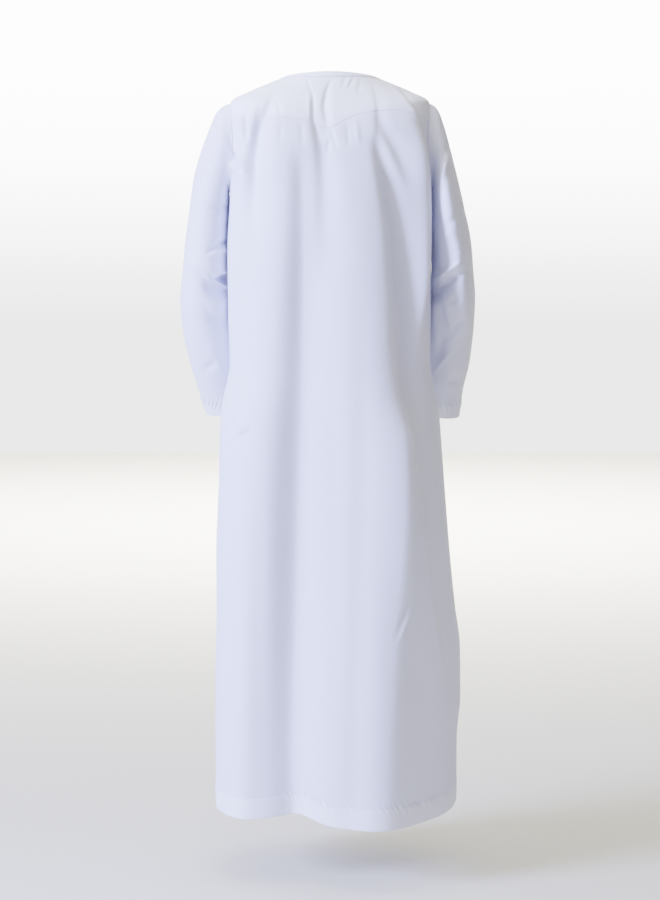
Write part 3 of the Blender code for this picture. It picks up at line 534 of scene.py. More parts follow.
LEFT_SLEEVE_STROKES = (
    (0.1875, -0.3806, 0.2150, -0.3806, -0.0100, 0.0060),
    (0.1875, -0.3806, 0.2030, -0.3806, -0.0080, 0.0080),
    (0.1875, -0.3640, 0.2240, -0.3790, 0.0060, 0.0022),
    (0.1876, -0.3970, 0.2240, -0.3800, 0.0070, 0.0022),
    (0.2240, -0.3790, 0.2330, -0.3740, 0.0040, 0.0022),
    (0.2306, -0.3860, 0.2158, -0.4194, -0.0040, 0.0060),
    (0.1873, -0.3085, 0.2226, -0.3288, -0.0064, 0.0042),
    (0.1874, -0.3177, 0.2208, -0.3380, 0.0040, 0.0042),
    (0.1867, -0.2463, 0.2163, -0.2519, -0.0050, 0.0050),
    (0.1950, -0.1230, 0.1770, -0.1600, -0.0200, 0.0030),
    (0.2000, -0.1260, 0.1820, -0.1640, 0.0090, 0.0036),
    (0.2170, -0.4526, 0.1890, -0.4676, -0.0036, 0.0060),
    (0.2350, -0.4192, 0.2128, -0.4751, -0.0030, 0.0070),
    (0.2258, -0.5163, 0.1996, -0.5539, 0.0030, 0.0060),
    (0.2391, -0.5539, 0.2127, -0.5313, -0.0032, 0.0060),
    (0.2608, -0.3486, 0.2423, -0.3672, 0.0020, 0.0060),
)
RIGHT_SLEEVE_STROKES = (
    # long swell of the back of the sleeve towards its outer side
    (0.2050, -0.1850, 0.2360, -0.3300, 0.0170, 0.0150),
    (0.2360, -0.3300, 0.2480, -0.4700, 0.0190, 0.0120),
    (0.1918, -0.3003, 0.1977, -0.4192, -0.0060, 0.0060),
    (0.2000, -0.4116, 0.2115, -0.4862, -0.0080, 0.0080),
    (0.2120, -0.4825, 0.1990, -0.5387, -0.0080, 0.0085),
    (0.1968, -0.2749, 0.2063, -0.3749, 0.0030, 0.0034),
    (0.2102, -0.4194, 0.2215, -0.4602, 0.0030, 0.0034),
    (0.2221, -0.4602, 0.2296, -0.4862, 0.0034, 0.0036),
    (0.2290, -0.5125, 0.1953, -0.5556, 0.0040, 0.0036),
    (0.2000, -0.3790, 0.2339, -0.3538, 0.0085, 0.0034),
    (0.2090, -0.3960, 0.2469, -0.3658, -0.0110, 0.0044),
    (0.2214, -0.4250, 0.2381, -0.4120, -0.0050, 0.0050),
    (0.2441, -0.4546, 0.2237, -0.4863, -0.0060, 0.0046),
    (0.2534, -0.4528, 0.2330, -0.4825, 0.0040, 0.0044),
    (0.2111, -0.2866, 0.2444, -0.2608, -0.0030, 0.0060),
    (0.2138, -0.1439, 0.1845, -0.1953, -0.0044, 0.0060),
    (0.2212, -0.1513, 0.1956, -0.2063, 0.0038, 0.0060),
    (0.2223, -0.5765, 0.2486, -0.5652, -0.0036, 0.0060),
    (0.2034, -0.5690, 0.2411, -0.5916, 0.0024, 0.0070),
)
# The sign of each sleeve's side, its ovals and its short creases
SLEEVES = {
    "left": (1, SLEEVE_LEFT, LEFT_SLEEVE_STROKES),
    "right": (-1, SLEEVE_RIGHT, RIGHT_SLEEVE_STROKES),
}
# How strong a short crease still is at its ends
STROKE_END_SHARE = 0.4

# Small slanted puckers that a stitch line draws into the cloth beside it. Wobbles, as size and
# rate, make their spacing and their strength uneven.
PUCKER_HEIGHT = 0.0017
PUCKER_PITCH = 0.0105
PUCKER_REACH = 0.0075
PUCKER_SLANT = 0.6
PUCKER_WOBBLES = ((1.7, 1.31), (0.9, 0.37))
STRENGTH_MEAN = 0.55
STRENGTH_RATE = 0.23
STRENGTH_WOBBLE = (0.8, 0.11)

# Cosines of the bearing, or sines of a sleeve's turn, between which the folds fade out
SIDE_FADE = (0.02, 0.30)
SLEEVE_FADE = (0.0, 0.45)
# Radii that turn an angle round the hem or the cuff into a length
HEM_RADIUS = 0.215
CUFF_RADIUS = 0.046

# Colours and surface of the cloth
CLOTH_LIGHT = (0.760, 0.768, 0.935)
CLOTH_DARK = (0.740, 0.748, 0.915)
CLOTH_DOUBLE = (0.820, 0.828, 0.965)
THREAD_COLOUR = (0.83, 0.84, 0.93)
BUTTON_COLOUR = (0.84, 0.84, 0.86)
THROUGH_SINGLE = 0.05
THROUGH_DOUBLE = 0.02
YARN_SCALE = 700.0
YARN_HEIGHT = 0.00006
CRINKLE_STRETCH = (26.0, 7.0, 1.0)
CRINKLE_HEIGHT = 0.0012
CLOTH_ROUGHNESS = (0.56, 0.68)
GRAIN_DARK_SHARE = 0.96
GRAIN_ROUGHNESS = 0.05

# Studio
FLOOR_REACH = 14.0
FLOOR_HEIGHT = -1.491
FLOOR_COLOUR = (0.66, 0.64, 0.54)
# Light from all round, and the directions and cosines between which it fades to other light
WORLD_LIGHT = (0.13, 0.124, 0.105)
WORLD_SHADE = (0.02, 0.019, 0.016)
SHADE_DIRECTION = (-0.985, 0.10, 0.12)
SHADE_FROM = -0.30
SHADE_TO = 0.50
UPWARD = (0.0, 0.0, 1.0)
WORLD_TOP = (1.7, 1.68, 1.55)
TOP_FROM = 0.45
TOP_TO = 0.75
BACK_DIRECTION = (0.0, -1.0, 0.0)
BACK_FROM = 0.90
BACK_TO = 0.955
WORLD_HORIZON = (4.0, 4.0, 3.95)
WORLD_BACK = (14.0, 14.0, 14.2)
HORIZON_TO = 0.13
ROBE_MIDDLE = (0.0, 0.0, -0.64)
# Columns: name, place, aim, size, power, colour
LIGHTS = (
    ("key", (3.3, 1.95, 0.5), ROBE_MIDDLE, 1.6, 850.0, (0.45, 0.49, 1.0)),
    ("fill", (1.2, 3.6, -0.2), ROBE_MIDDLE, 2.4, 2.5, (1.0, 0.96, 0.80)),
    ("top", (0.45, 0.22, 0.8), (0.0, 0.0, 0.0), 0.9, 20.0, (0.98, 0.98, 1.0)),
    ("backdrop", (0.0, -7.0, 4.0), (0.0, -11.5, -1.49), 6.0, 6400.0, (1.0, 1.0, 1.0)),
)
CAMERA_DISTANCE = 3.9
CAMERA_PLACE = (0.0, CAMERA_DISTANCE, -0.489)
CAMERA_AIM = (0.0, 0.0, -0.701)
# How tall a strip the picture shows at the origin's distance
PICTURE_HEIGHT = 1.696
SENSOR_WIDTH = 36.0


def column(names, rows, name):
    """One column of a table, as an array."""
    return np.array([row[names.index(name)] for row in rows], float)


def eased(places, values, at):
    """A curve through the values that never overshoots them (Fritsch and Carlson slopes)."""
    at = np.clip(at, places[0], places[-1])
    steps = np.diff(places)
    rises = np.diff(values) / steps
    slopes = np.zeros(len(places))
    slopes[0], slopes[-1] = rises[0], rises[-1]
    for i in range(1, len(places) - 1):
        if rises[i - 1] * rises[i] > 0:
            slopes[i] = 2 * rises[i - 1] * rises[i] / (rises[i - 1] + rises[i])
    i = np.clip(np.searchsorted(places, at, side="right") - 1, 0, len(steps) - 1)
    u = (at - places[i]) / steps[i]
    return (
        values[i] * (1 + 2 * u) * (1 - u) ** 2
        + values[i + 1] * u * u * (3 - 2 * u)
        + steps[i] * u * (1 - u) * (slopes[i] * (1 - u) - slopes[i + 1] * u)
    )


def from_table(names, rows, name, at):
    """The column's value at places along the table's first column."""
    return eased(column(names, rows, names[0]), column(names, rows, name), at)


def smoothstep(low, high, x):
    u = np.clip((x - low) / (high - low), 0, 1)
    return u * u * (3 - 2 * u)


def bell(away):
    """1 in the middle of a fold and fading to both sides, with the distance counted in widths."""
    return np.exp(-0.5 * away * away)


def unit(vectors):
    lengths = np.linalg.norm(vectors, axis=-1, keepdims=True)
    return vectors / np.maximum(lengths, np.finfo(float).tiny)


def grids(*values):
    """The values as number arrays of one shape."""
    return np.broadcast_arrays(*(np.asarray(value, float) for value in values))


def over_columns(rows, count):
    """One value a row, repeated over this many columns."""
    return np.repeat(rows[:, None], count, axis=1)


# Surfaces


def folds_out(folds, x, z):
    """How far all the folds of one side move the cloth out at these places."""
    out = np.zeros(np.shape(x))
    for rows in folds.values():
        heights = column(FOLD_COLUMNS, rows, "height")[::-1]
        across, depth, left, right = (
            eased(heights, column(FOLD_COLUMNS, rows, name)[::-1], z) for name in FOLD_COLUMNS[1:]
        )
        inside = (z <= heights[-1]) & (z >= heights[0] - FOLD_TAIL)
        away = (x - across) / np.where(x > across, left, right)
        out = out + np.where(inside, depth * bell(away), 0)
    return out


def strokes_out(strokes, x, z):
    """How far the short creases move the cloth out, each fading towards its ends."""
    out = np.zeros(np.shape(x))
    for start_x, start_z, end_x, end_z, height, width in strokes:
        run_x, run_z = end_x - start_x, end_z - start_z
        share = ((x - start_x) * run_x + (z - start_z) * run_z) / (run_x**2 + run_z**2)
        inside = np.clip(share, 0, 1)
        away = np.hypot(x - start_x - inside * run_x, z - start_z - inside * run_z) / width
        fade = STROKE_END_SHARE + (1 - STROKE_END_SHARE) * np.sin(math.pi * inside)
        out = out + height * fade * bell(away)
    return out


def pucker(round_it, from_line):
    """The ripple that a stitch line at from_line = 0 leaves in the cloth, round the robe or cuff."""
    phase = (round_it + PUCKER_SLANT * from_line) / PUCKER_PITCH
    angle = 2 * math.pi * phase
    for size, rate in PUCKER_WOBBLES:
        angle = angle + size * np.sin(rate * phase)
    size, rate = STRENGTH_WOBBLE
    swing = np.sin(STRENGTH_RATE * phase + size * np.sin(rate * phase))
    strength = STRENGTH_MEAN + (1 - STRENGTH_MEAN) * swing
    return PUCKER_HEIGHT * strength * np.sin(angle) * bell(from_line / PUCKER_REACH)


def ring_point(bearing, drop):
    """The body's surface without its folds, and the outward direction in plan."""
    half, back, front, side_drop, front_drop, centre_x, centre_y, square = (
        from_table(RING_COLUMNS, RINGS, name, drop) for name in RING_COLUMNS[1:]
    )
    across, along = np.sin(bearing), np.cos(bearing)
    depth = np.where(along > 0, back, front)
    a, b = np.abs(across) / half, np.abs(along) / depth
    radius = (a**square + b**square) ** (-1 / square)
    end_drop = np.where(along > 0, drop, front_drop)
    fall = side_drop + (end_drop - side_drop) * along**2
    out_x = np.sign(across) * a ** (square - 1) / half
    out_y = np.sign(along) * b ** (square - 1) / depth
    length = np.hypot(out_x, out_y)
    point = np.stack([centre_x + radius * across, centre_y + radius * along, -fall], axis=-1)
    return point, np.stack([out_x / length, out_y / length, 0 * length], axis=-1)


def armhole_place(turn):
    """Bearing and drop on the left armhole: turn 0 is its top, a quarter its back, a half its foot."""
    middle = (ARMHOLE_TOP + ARMHOLE_FOOT) / 2
    bearing = math.pi / 2 - ARMHOLE_HALF_BEARING * np.sin(turn)
    return bearing, middle - (ARMHOLE_FOOT - ARMHOLE_TOP) / 2 * np.cos(turn)


def yoke_seam_drop(bearing):
    end_bearing, end_drop = armhole_place(BACK_SEAM_TURN)
    end = math.degrees(end_bearing)
    rows = ((-end, end_drop),) + YOKE_SEAM + ((end, end_drop),)
    return from_table(YOKE_SEAM_COLUMNS, rows, "drop", np.degrees(bearing))


def hem_drop(bearing):
    turned = (np.degrees(bearing) + 180) % 360 - 180
    return BACK_LENGTH - from_table(HEM_RISE_COLUMNS, HEM_RISE, "rise", turned)


def with_hem(drop, bearing):
    """The level drops moved so that the last one follows the hem's uneven foot."""
    start = BACK_LENGTH - HEM_LEVEL_FROM
    share = np.clip((drop - start) / (BACK_LENGTH - start), 0, None)
    return drop + share * (hem_drop(bearing) - BACK_LENGTH)


def front_turn(distance, drop):
    """How far round from the centre front a distance across it reaches."""
    return np.arctan(distance / from_table(RING_COLUMNS, RINGS, "front_depth", drop))


def body_point(bearing, drop):
    """The outer surface of the body with its folds, small creases and hem puckers."""
    bearing, drop = grids(bearing, drop)
    point, outward = ring_point(bearing, drop)
    x, z = point[..., 0], point[..., 2]
    out = np.zeros(drop.shape)
    for facing, folds, small_folds, strokes in (
        (1, BACK_FOLDS, SMALL_BACK_FOLDS, BACK_STROKES),
        (-1, FRONT_FOLDS, SMALL_FRONT_FOLDS, FRONT_STROKES),
    ):
        folded = folds_out(folds, x, z) + folds_out(small_folds, x, z) + strokes_out(strokes, x, z)
        out = out + smoothstep(*SIDE_FADE, facing * np.cos(bearing)) * folded
    hem_line = with_hem(BACK_LENGTH - HEM_HEIGHT, bearing)
    out = out + pucker(bearing * HEM_RADIUS, drop - hem_line)
    return point + outward * out[..., None]


def on_body(bearing, drop, lift):
    """Points at a lift above the body's outer surface, below it where the lift is negative."""
    bearing, drop = grids(bearing, drop)
    round_it = body_point(bearing + SLOPE_TURN, drop) - body_point(bearing - SLOPE_TURN, drop)
    low, high = np.clip(drop - SLOPE_DROP, 0, None), np.clip(drop + SLOPE_DROP, None, BACK_LENGTH)
    down_it = body_point(bearing, high) - body_point(bearing, low)
    outward = unit(np.cross(round_it, down_it))
    return body_point(bearing, drop) + outward * np.asarray(lift, float)[..., None]


def oval_point(side, table, station, turn):
    """The ovals of a sleeve's table, on the side that the sign gives."""
    out_x, out_z, in_x, in_z, centre_y, half_depth, tilt = (
        from_table(SLEEVE_COLUMNS, table, name, station) for name in SLEEVE_COLUMNS[1:]
    )
    across, along = np.cos(turn), np.sin(turn)
    x = (out_x + in_x) / 2 + (out_x - in_x) / 2 * across
    z = (out_z + in_z) / 2 + (out_z - in_z) / 2 * across - tilt * half_depth * along
    return np.stack([side * x, centre_y + half_depth * along, z], axis=-1)


def sleeve_point(sleeve, station, turn):
    """A sleeve's outer surface: the armhole's own curve, then the table's ovals with their creases."""
    side, table, strokes = SLEEVES[sleeve]
    station, turn = grids(station, turn)
    oval = oval_point(side, table, station, turn)
    outer, inner = (oval_point(side, table, station, at + 0 * turn) for at in (0, math.pi))
    inward = unit((outer + inner) / 2 - oval)
    degrees = np.degrees(turn) % 360
    for at, centre, out, width, turn_width, slant in SLEEVE_CREASES:
        away = (station - at - slant * (degrees - centre)) / width
        round_it = (degrees - centre) / turn_width
        oval = oval - inward * (out * bell(np.hypot(away, round_it)))[..., None]
    facing_back = smoothstep(*SLEEVE_FADE, np.sin(turn))
    crease = strokes_out(strokes, side * oval[..., 0], oval[..., 2])
    cuff = pucker(turn * CUFF_RADIUS, (station - 1) * SLEEVE_LENGTH + CUFF_HEM_HEIGHT)
    oval = oval - inward * (facing_back * crease + cuff)[..., None]
    bearing, drop = armhole_place(turn)
    start = body_point(side * bearing, drop)
    start[..., 0] += side * SEAM_GAP
    blend = smoothstep(0.0, ARMHOLE_BLEND, station)[..., None]
    return start + blend * (oval - start)


def on_sleeve(sleeve, station, turn, lift):
    """Points at a lift above a sleeve's outer surface. The rim at the armhole stays in one plane."""
    station, turn = grids(station, turn)
    low, high = np.clip(station - SLOPE_STATION, 0, None), np.clip(station + SLOPE_STATION, None, 1)
    along = sleeve_point(sleeve, high, turn) - sleeve_point(sleeve, low, turn)
    around = sleeve_point(sleeve, station, turn + SLOPE_TWIST)
    around = around - sleeve_point(sleeve, station, turn - SLOPE_TWIST)
    side = SLEEVES[sleeve][0]
    outward = unit(np.cross(along, around)) * side
    flat = outward.copy()
    flat[..., 0] = 0
    outward = np.where((station <= 0)[..., None], unit(flat), outward)
    return sleeve_point(sleeve, station, turn) + outward * np.asarray(lift, float)[..., None]


# Fine grids of each piece


def rows_with_hem(levels, length, height, end_rows):
    """Drops, lifts and layer counts down to a hem, round its edge and up its turned-in side."""
    fold = length - height
    near = np.linspace(fold - STITCH_ZONE, fold + STITCH_ZONE, 2 * STITCH_ZONE_ROWS + 1)
    down = np.linspace(fold + STITCH_ZONE, length - EDGE_RADIUS, end_rows + 1)[1:]
    turn = np.linspace(0, math.pi, EDGE_ROWS + 1)[1:]
    up = np.linspace(length - EDGE_RADIUS, fold + EDGE_RADIUS, end_rows + 1)[1:]
    drop = np.concatenate([levels, near, down, length - EDGE_RADIUS * (1 - np.sin(turn)), up])
    rise = smoothstep(fold - EDGE_RADIUS, fold + EDGE_RADIUS, np.concatenate([levels, near, down]))
    edge = HEM_LIFT + EDGE_RADIUS * (np.cos(turn) - 1)
    lift = np.concatenate([HEM_LIFT * rise, edge, np.full(len(up), edge[-1])])
    layers = np.concatenate([rise, np.ones(len(turn) + len(up))])
    return drop, lift, layers


def skirt_rows(count):
    """Rows from the foot of the armhole to the inside of the hem."""
    start = BACK_LENGTH - HEM_HEIGHT - STITCH_ZONE
    levels = np.linspace(ARMHOLE_FOOT, start, count + 1)[1:-1]
    return rows_with_hem(levels, BACK_LENGTH, HEM_HEIGHT, HEM_ROWS)


def panel_layers(upper_rows, below_lift, below_layers, columns):
    """Lifts and layer counts over a whole panel, none above the skirt's rows."""
    none = np.zeros(upper_rows)
    return [over_columns(np.concatenate([none, rows]), columns) for rows in (below_lift, below_layers)]


def back_grid():
    """Bearings, drops, lifts and layer counts of the back panel, from the yoke seam to the hem."""
    share = np.linspace(-1, 1, 2 * BACK_HALF_COLUMNS + 1)
    turns = np.linspace(BACK_SEAM_TURN, math.pi, BACK_UPPER_ROWS + 1)
    edge_bearing, edge_drop = armhole_place(turns)
    below, below_lift, below_layers = skirt_rows(BACK_LOWER_ROWS)
    edge_bearing = np.concatenate([edge_bearing, np.full(len(below), math.pi / 2)])
    bearing = edge_bearing[:, None] * share
    at_edge = (edge_drop - edge_drop[0]) / (ARMHOLE_FOOT - edge_drop[0])
    even = np.linspace(0, 1, len(at_edge))
    fraction = even[:, None] + (at_edge - even)[:, None] * np.abs(share) ** EDGE_ROW_POWER
    seam = yoke_seam_drop(bearing[0])
    upper = seam + fraction * (ARMHOLE_FOOT - seam)
    lower = with_hem(over_columns(below, len(share)), bearing[len(upper):])
    lift, layers = panel_layers(len(upper), below_lift, below_layers, len(share))
    return bearing, np.concatenate([upper, lower]), lift, layers


def front_grid():
    """The same for the front panel, from the neck to the hem, with a middle column for the slit."""
    end_bearing, end_drop = armhole_place(FRONT_SEAM_TURN)
    share = np.linspace(0, 1, FRONT_SEAM_ROWS + 1)
    seam_bearing = FRONT_SEAM_NECK_BEARING + share * (end_bearing - FRONT_SEAM_NECK_BEARING)
    seam_drop = BINDING_WIDTH + share * (end_drop - BINDING_WIDTH)
    turns = np.linspace(FRONT_SEAM_TURN, -math.pi, FRONT_HOLE_ROWS + 1)[1:]
    hole_bearing, hole_drop = armhole_place(turns)
    below, below_lift, below_layers = skirt_rows(FRONT_LOWER_ROWS)
    edge_bearing = np.concatenate([seam_bearing, hole_bearing, np.full(len(below), math.pi / 2)])
    row_drop = np.concatenate([seam_drop, hole_drop, below])
    close = front_turn(SLIT_WIDTH / 2, row_drop)[:, None]
    reach = (math.pi - edge_bearing)[:, None]
    half = close + (reach - close) * np.linspace(0, 1, FRONT_HALF_COLUMNS + 1)
    bearing = math.pi + np.concatenate([-half[:, ::-1], half], axis=1)
    width = bearing.shape[1]
    drop = with_hem(over_columns(row_drop, width), bearing)
    upper_rows = len(seam_drop) + len(hole_drop)
    lift, layers = panel_layers(upper_rows, below_lift, below_layers, width)
    return bearing, drop, lift, layers


def tucked(lift, sides):
    """The lifts with the named edges sunk, as where a seam draws the cloth in."""
    lift = lift.copy()
    for side in sides:
        edge = {"top": np.s_[0], "foot": np.s_[-1], "first": np.s_[:, 0], "last": np.s_[:, -1]}[side]
        lift[edge] -= SEAM_TUCK
    return lift


# Pieces and sheets


def placed(name, data):
    """A mesh, light or camera put into the scene."""
    made = bpy.data.objects.new(name, data)
    bpy.context.scene.collection.objects.link(made)
    return made


def piece(name, points, faces, material):
    """A smooth mesh that rides on the body and has one material."""
    mesh = bpy.data.meshes.new(name)
    mesh.from_pydata(points.reshape(-1, 3).tolist(), [], faces)
    mesh.shade_smooth()
    mesh.materials.append(material)
    made = placed(name, mesh)
    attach(made, "root")
    return made


def drop_loose_points(mesh):
    """Removes the points that no face uses."""
    work = bmesh.new()
    work.from_mesh(mesh)
    bmesh.ops.delete(work, geom=[v for v in work.verts if not v.link_faces], context="VERTS")
    work.to_mesh(mesh)
    work.free()


def run_along(line):
    """The distance along a line of points, at each of them."""
    steps = np.linalg.norm(np.diff(line, axis=0), axis=1)
    return np.concatenate([[0], np.cumsum(steps)])


def lay_cloth(made, ring, i, j, layers):
    """Gives a sheet its UV map, in metres along its middle row and column, and its layer counts."""
    across, along = np.meshgrid(run_along(ring[len(ring) // 2]), run_along(ring[:, ring.shape[1] // 2]))
    rows = np.stack([i, i, i + 1, i + 1], 1).ravel()
    columns = np.stack([j, j + 1, j + 1, j], 1).ravel()
    uv = made.data.uv_layers.new(name="cloth")
    uv.data.foreach_set("uv", np.stack([across[rows, columns], along[rows, columns]], 1).ravel())
    double = made.data.attributes.new("layers", "FLOAT", "POINT")
    double.data.foreach_set("value", layers.ravel().astype(np.float32))


def cut_area(ring, active):
    """The area of a grid of points, and the width and length of the cloth that it is cut from."""
    one, two = ring[1:, 1:] - ring[:-1, :-1], ring[1:, :-1] - ring[:-1, 1:]
    cells = np.linalg.norm(np.cross(one, two), axis=-1) / 2 * active
    width = np.linalg.norm(np.diff(ring, axis=1), axis=-1).sum(axis=1).max()
    length = np.linalg.norm(np.diff(ring, axis=0), axis=-1).sum(axis=0).max()
    return float(cells.sum()), float(width), float(length)


def show_cloth(name, points, layers, material, node, active=None, closed=False, plies=1):
    """A sheet over a grid of points that stands for its CAD node; its cut's area, width and length are
    worked out.
    """
    ring = np.concatenate([points, points[:, :1]], axis=1) if closed else points
    if active is None:
        active = np.ones((ring.shape[0] - 1, ring.shape[1] - 1), bool)
    columns = points.shape[1]
    i, j = np.nonzero(active)
    k = (j + 1) % columns
    corners = [i * columns + j, i * columns + k, (i + 1) * columns + k, (i + 1) * columns + j]
    made = piece(name, points, np.stack(corners, 1).tolist(), material)
    lay_cloth(made, ring, i, j, layers)
    if not active.all():
        drop_loose_points(made.data)
    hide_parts(node)
    area, width, length = cut_area(ring, active)
    width, length = round(width / plies, 3), round(length, 3)


def make_body(cloth):
    bearing, drop, lift, layers = back_grid()
    points = on_body(bearing, drop, tucked(lift, ["top", "first", "last"]))
    show_cloth("back_cloth", points, layers, cloth, "back_panel")
    bearing, drop, lift, layers = front_grid()
    points = on_body(bearing, drop, tucked(lift, ["top", "first", "last"]))
    active = np.ones((points.shape[0] - 1, points.shape[1] - 1), bool)
    slit_rows = int(np.searchsorted(drop[:, 0], PLACKET_LENGTH))
    active[:slit_rows, active.shape[1] // 2] = False
    show_cloth("front_cloth", points, layers, cloth, "front_panel", active=active)


def make_yoke(cloth):
    """The doubled yoke, from the neck to the back seam, the armholes' tops and the front seams."""
    end_bearing = armhole_place(BACK_SEAM_TURN)[0]
    seam_bearing = end_bearing * np.linspace(-1, 1, 2 * YOKE_HALF_COLUMNS + 1)
    turns = np.linspace(BACK_SEAM_TURN, FRONT_SEAM_TURN, YOKE_SHOULDER_COLUMNS + 1)
    hole_bearing, hole_drop = armhole_place(turns[1:])
    outer_bearing = np.concatenate([-hole_bearing[::-1], seam_bearing, hole_bearing])
    outer_drop = np.concatenate([hole_drop[::-1], yoke_seam_drop(seam_bearing), hole_drop])
    side = np.linspace(end_bearing, FRONT_SEAM_NECK_BEARING, YOKE_SHOULDER_COLUMNS + 1)[1:]
    inner_bearing = np.concatenate([-side[::-1], seam_bearing, side])
    share = np.linspace(0, 1, YOKE_ROWS + 1)[:, None]
    bearing = inner_bearing + share * (outer_bearing - inner_bearing)
    drop = BINDING_WIDTH + share * (outer_drop - BINDING_WIDTH)
    lift = tucked(np.full(drop.shape, YOKE_LIFT), ["top", "foot", "first", "last"])
    show_cloth("yoke_cloth", on_body(bearing, drop, lift), np.ones(drop.shape), cloth, "yoke")


def make_binding(cloth):
    """The neck strip: its outside, its rounded top edge and its inside."""
    ends = math.pi - front_turn(SLIT_WIDTH / 2, 0.0)
    outside = np.linspace(BINDING_WIDTH, BINDING_RADIUS, BINDING_ROWS)
    turn = np.linspace(0, math.pi, EDGE_ROWS + 1)[1:-1]
    over = BINDING_RADIUS * (1 - np.sin(turn))
    rows = np.concatenate([outside, over, outside[::-1]])
    lift = np.concatenate([
        np.full(len(outside), BINDING_LIFT),
        BINDING_LIFT + BINDING_RADIUS * (np.cos(turn) - 1),
        np.full(len(outside), BINDING_LIFT - 2 * BINDING_RADIUS),
    ])
    lift[0] -= SEAM_TUCK
    bearing, drop = np.meshgrid(np.linspace(-ends, ends, BINDING_COLUMNS + 1), rows)
    points = on_body(bearing, drop, over_columns(lift, bearing.shape[1]))
    show_cloth("neck_binding_cloth", points, np.ones(drop.shape), cloth, "neck_binding")


def make_sleeve(sleeve, cloth):
    turns = np.linspace(0, 2 * math.pi, SLEEVE_COLUMNS_AROUND, endpoint=False)
    cap = np.linspace(0, CAP_STATION, CAP_ROWS + 1)
    last = 1 - (CUFF_HEM_HEIGHT + STITCH_ZONE) / SLEEVE_LENGTH
    levels = np.linspace(CAP_STATION, last, SLEEVE_ROWS + 1)[1:-1]
    upper = np.concatenate([cap, levels]) * SLEEVE_LENGTH
    drop, lift, layers = rows_with_hem(upper, SLEEVE_LENGTH, CUFF_HEM_HEIGHT, CUFF_ROWS)
    lift[0] -= SEAM_TUCK
    station, turn = np.meshgrid(drop / SLEEVE_LENGTH, turns, indexing="ij")
    points = on_sleeve(sleeve, station, turn, over_columns(lift, len(turns)))
    layers = over_columns(layers, len(turns))
    show_cloth(f"sleeve_{sleeve}_cloth", points, layers, cloth, f"sleeve_{sleeve}", closed=True)


def pouch(bearing, drop, middle, half):
    """An outer and an inner face of cloth about a middle lift, joined at their sides."""
    back_again = np.s_[:, -2:0:-1]
    outer = on_body(bearing, drop, middle + half)
    inner = on_body(bearing[back_again], drop[back_again], middle - half[back_again])
    return np.concatenate([outer, inner], axis=1)


def make_plackets(cloth):
    """The strips over and under the slit, each a folded strip of cloth with a thin edge."""
    rows = np.linspace(BINDING_WIDTH + SEAM_GAP, PLACKET_LENGTH, PLACKET_ROWS + 1)
    across = np.linspace(-1, 1, PLACKET_COLUMNS + 1)
    round_edge = np.sqrt(np.clip(1 - np.abs(across) ** PLACKET_EDGE_POWER, 0, 1))
    bearing = math.pi + front_turn(PLACKET_WIDTH / 2, rows)[:, None] * across
    bearing, drop, half = grids(bearing, rows[:, None], PLACKET_THICKNESS / 2 * round_edge)
    for node, side in (("over_placket", 1), ("under_placket", -1)):
        points = pouch(bearing, drop, side * (PLACKET_LIFT + PLACKET_THICKNESS / 2), half)
        layers = np.ones(points.shape[:2])
        show_cloth(f"{node}_cloth", points, layers, cloth, node, closed=True, plies=2)


def make_pocket_bags(cloth):
    """Flat double pouches that hang inside the back panel."""
    across = np.linspace(0, 1, POCKET_COLUMNS + 1)
    down = np.linspace(0, 1, POCKET_ROWS + 1)[:, None]
    bearing = np.radians(POCKET_BEARINGS[0] + across * (POCKET_BEARINGS[1] - POCKET_BEARINGS[0]))
    foot = POCKET_DROPS[1] - POCKET_CORNER * np.abs(2 * across - 1) ** POCKET_CORNER_POWER
    drop = POCKET_DROPS[0] + down * (foot - POCKET_DROPS[0])
    edge = np.minimum(np.minimum(across, 1 - across), 1 - down)
    half = POCKET_THICKNESS / 2 * smoothstep(0, POCKET_EDGE, edge)
    bearing, drop, half = grids(bearing, drop, half)
    for node, side in (("pocket_bag_left", 1), ("pocket_bag_right", -1)):
        points = pouch(side * bearing, drop, -POCKET_DEPTH, half)
        layers = np.zeros(points.shape[:2])
        show_cloth(f"{node}_cloth", points, layers, cloth, node, closed=True)


# Sewing


def spaced(line, outward, pitch):
    """Places at an even pitch along a line of points, with the line's direction and its outward one."""
    far = run_along(line)
    at = np.arange(pitch / 2, far[-1], pitch)

    def read(rows, where):
        return np.stack([np.interp(where, far, rows[:, n]) for n in range(3)], axis=1)

    forward = unit(read(line, at + pitch / 4) - read(line, at - pitch / 4))
    return read(line, at), forward, unit(read(outward, at))


def tube_faces(rings, sides):
    """The side faces of a tube of rings that have this many points each."""
    faces = []
    for low in range(0, (rings - 1) * sides, sides):
        for n in range(sides):
            m = (n + 1) % sides
            faces.append([low + m, low + n, low + sides + n, low + sides + m])
    return faces


def stitches(name, lines, material):
    """Short rounded threads along lines of (points, outward directions), as one piece."""
    threads = []
    for line, outward in lines:
        place, forward, out = spaced(line, outward, STITCH_PITCH)
        side = np.cross(forward, out)
        corners = []
        for share, size, rise in STITCH_SHAPE:
            centre = place + forward * share * STITCH_LENGTH + out * rise * STITCH_RADIUS
            for turn_side, turn_out in ((1, 0), (0, 1), (-1, 0), (0, -1)):
                corners.append(centre + (side * turn_side + out * turn_out) * size * STITCH_RADIUS)
        threads.append(np.stack(corners, axis=1).reshape(-1, 3))
    points = np.concatenate(threads)
    each = 4 * len(STITCH_SHAPE)
    ends = [[0, 1, 2, 3], [each - 1, each - 2, each - 3, each - 4]]
    cells = np.array(ends + tube_faces(len(STITCH_SHAPE), 4))
    starts = np.arange(0, len(points), each)
    faces = (cells[None] + starts[:, None, None]).reshape(-1, 4)
    piece(name, points, faces.tolist(), material)


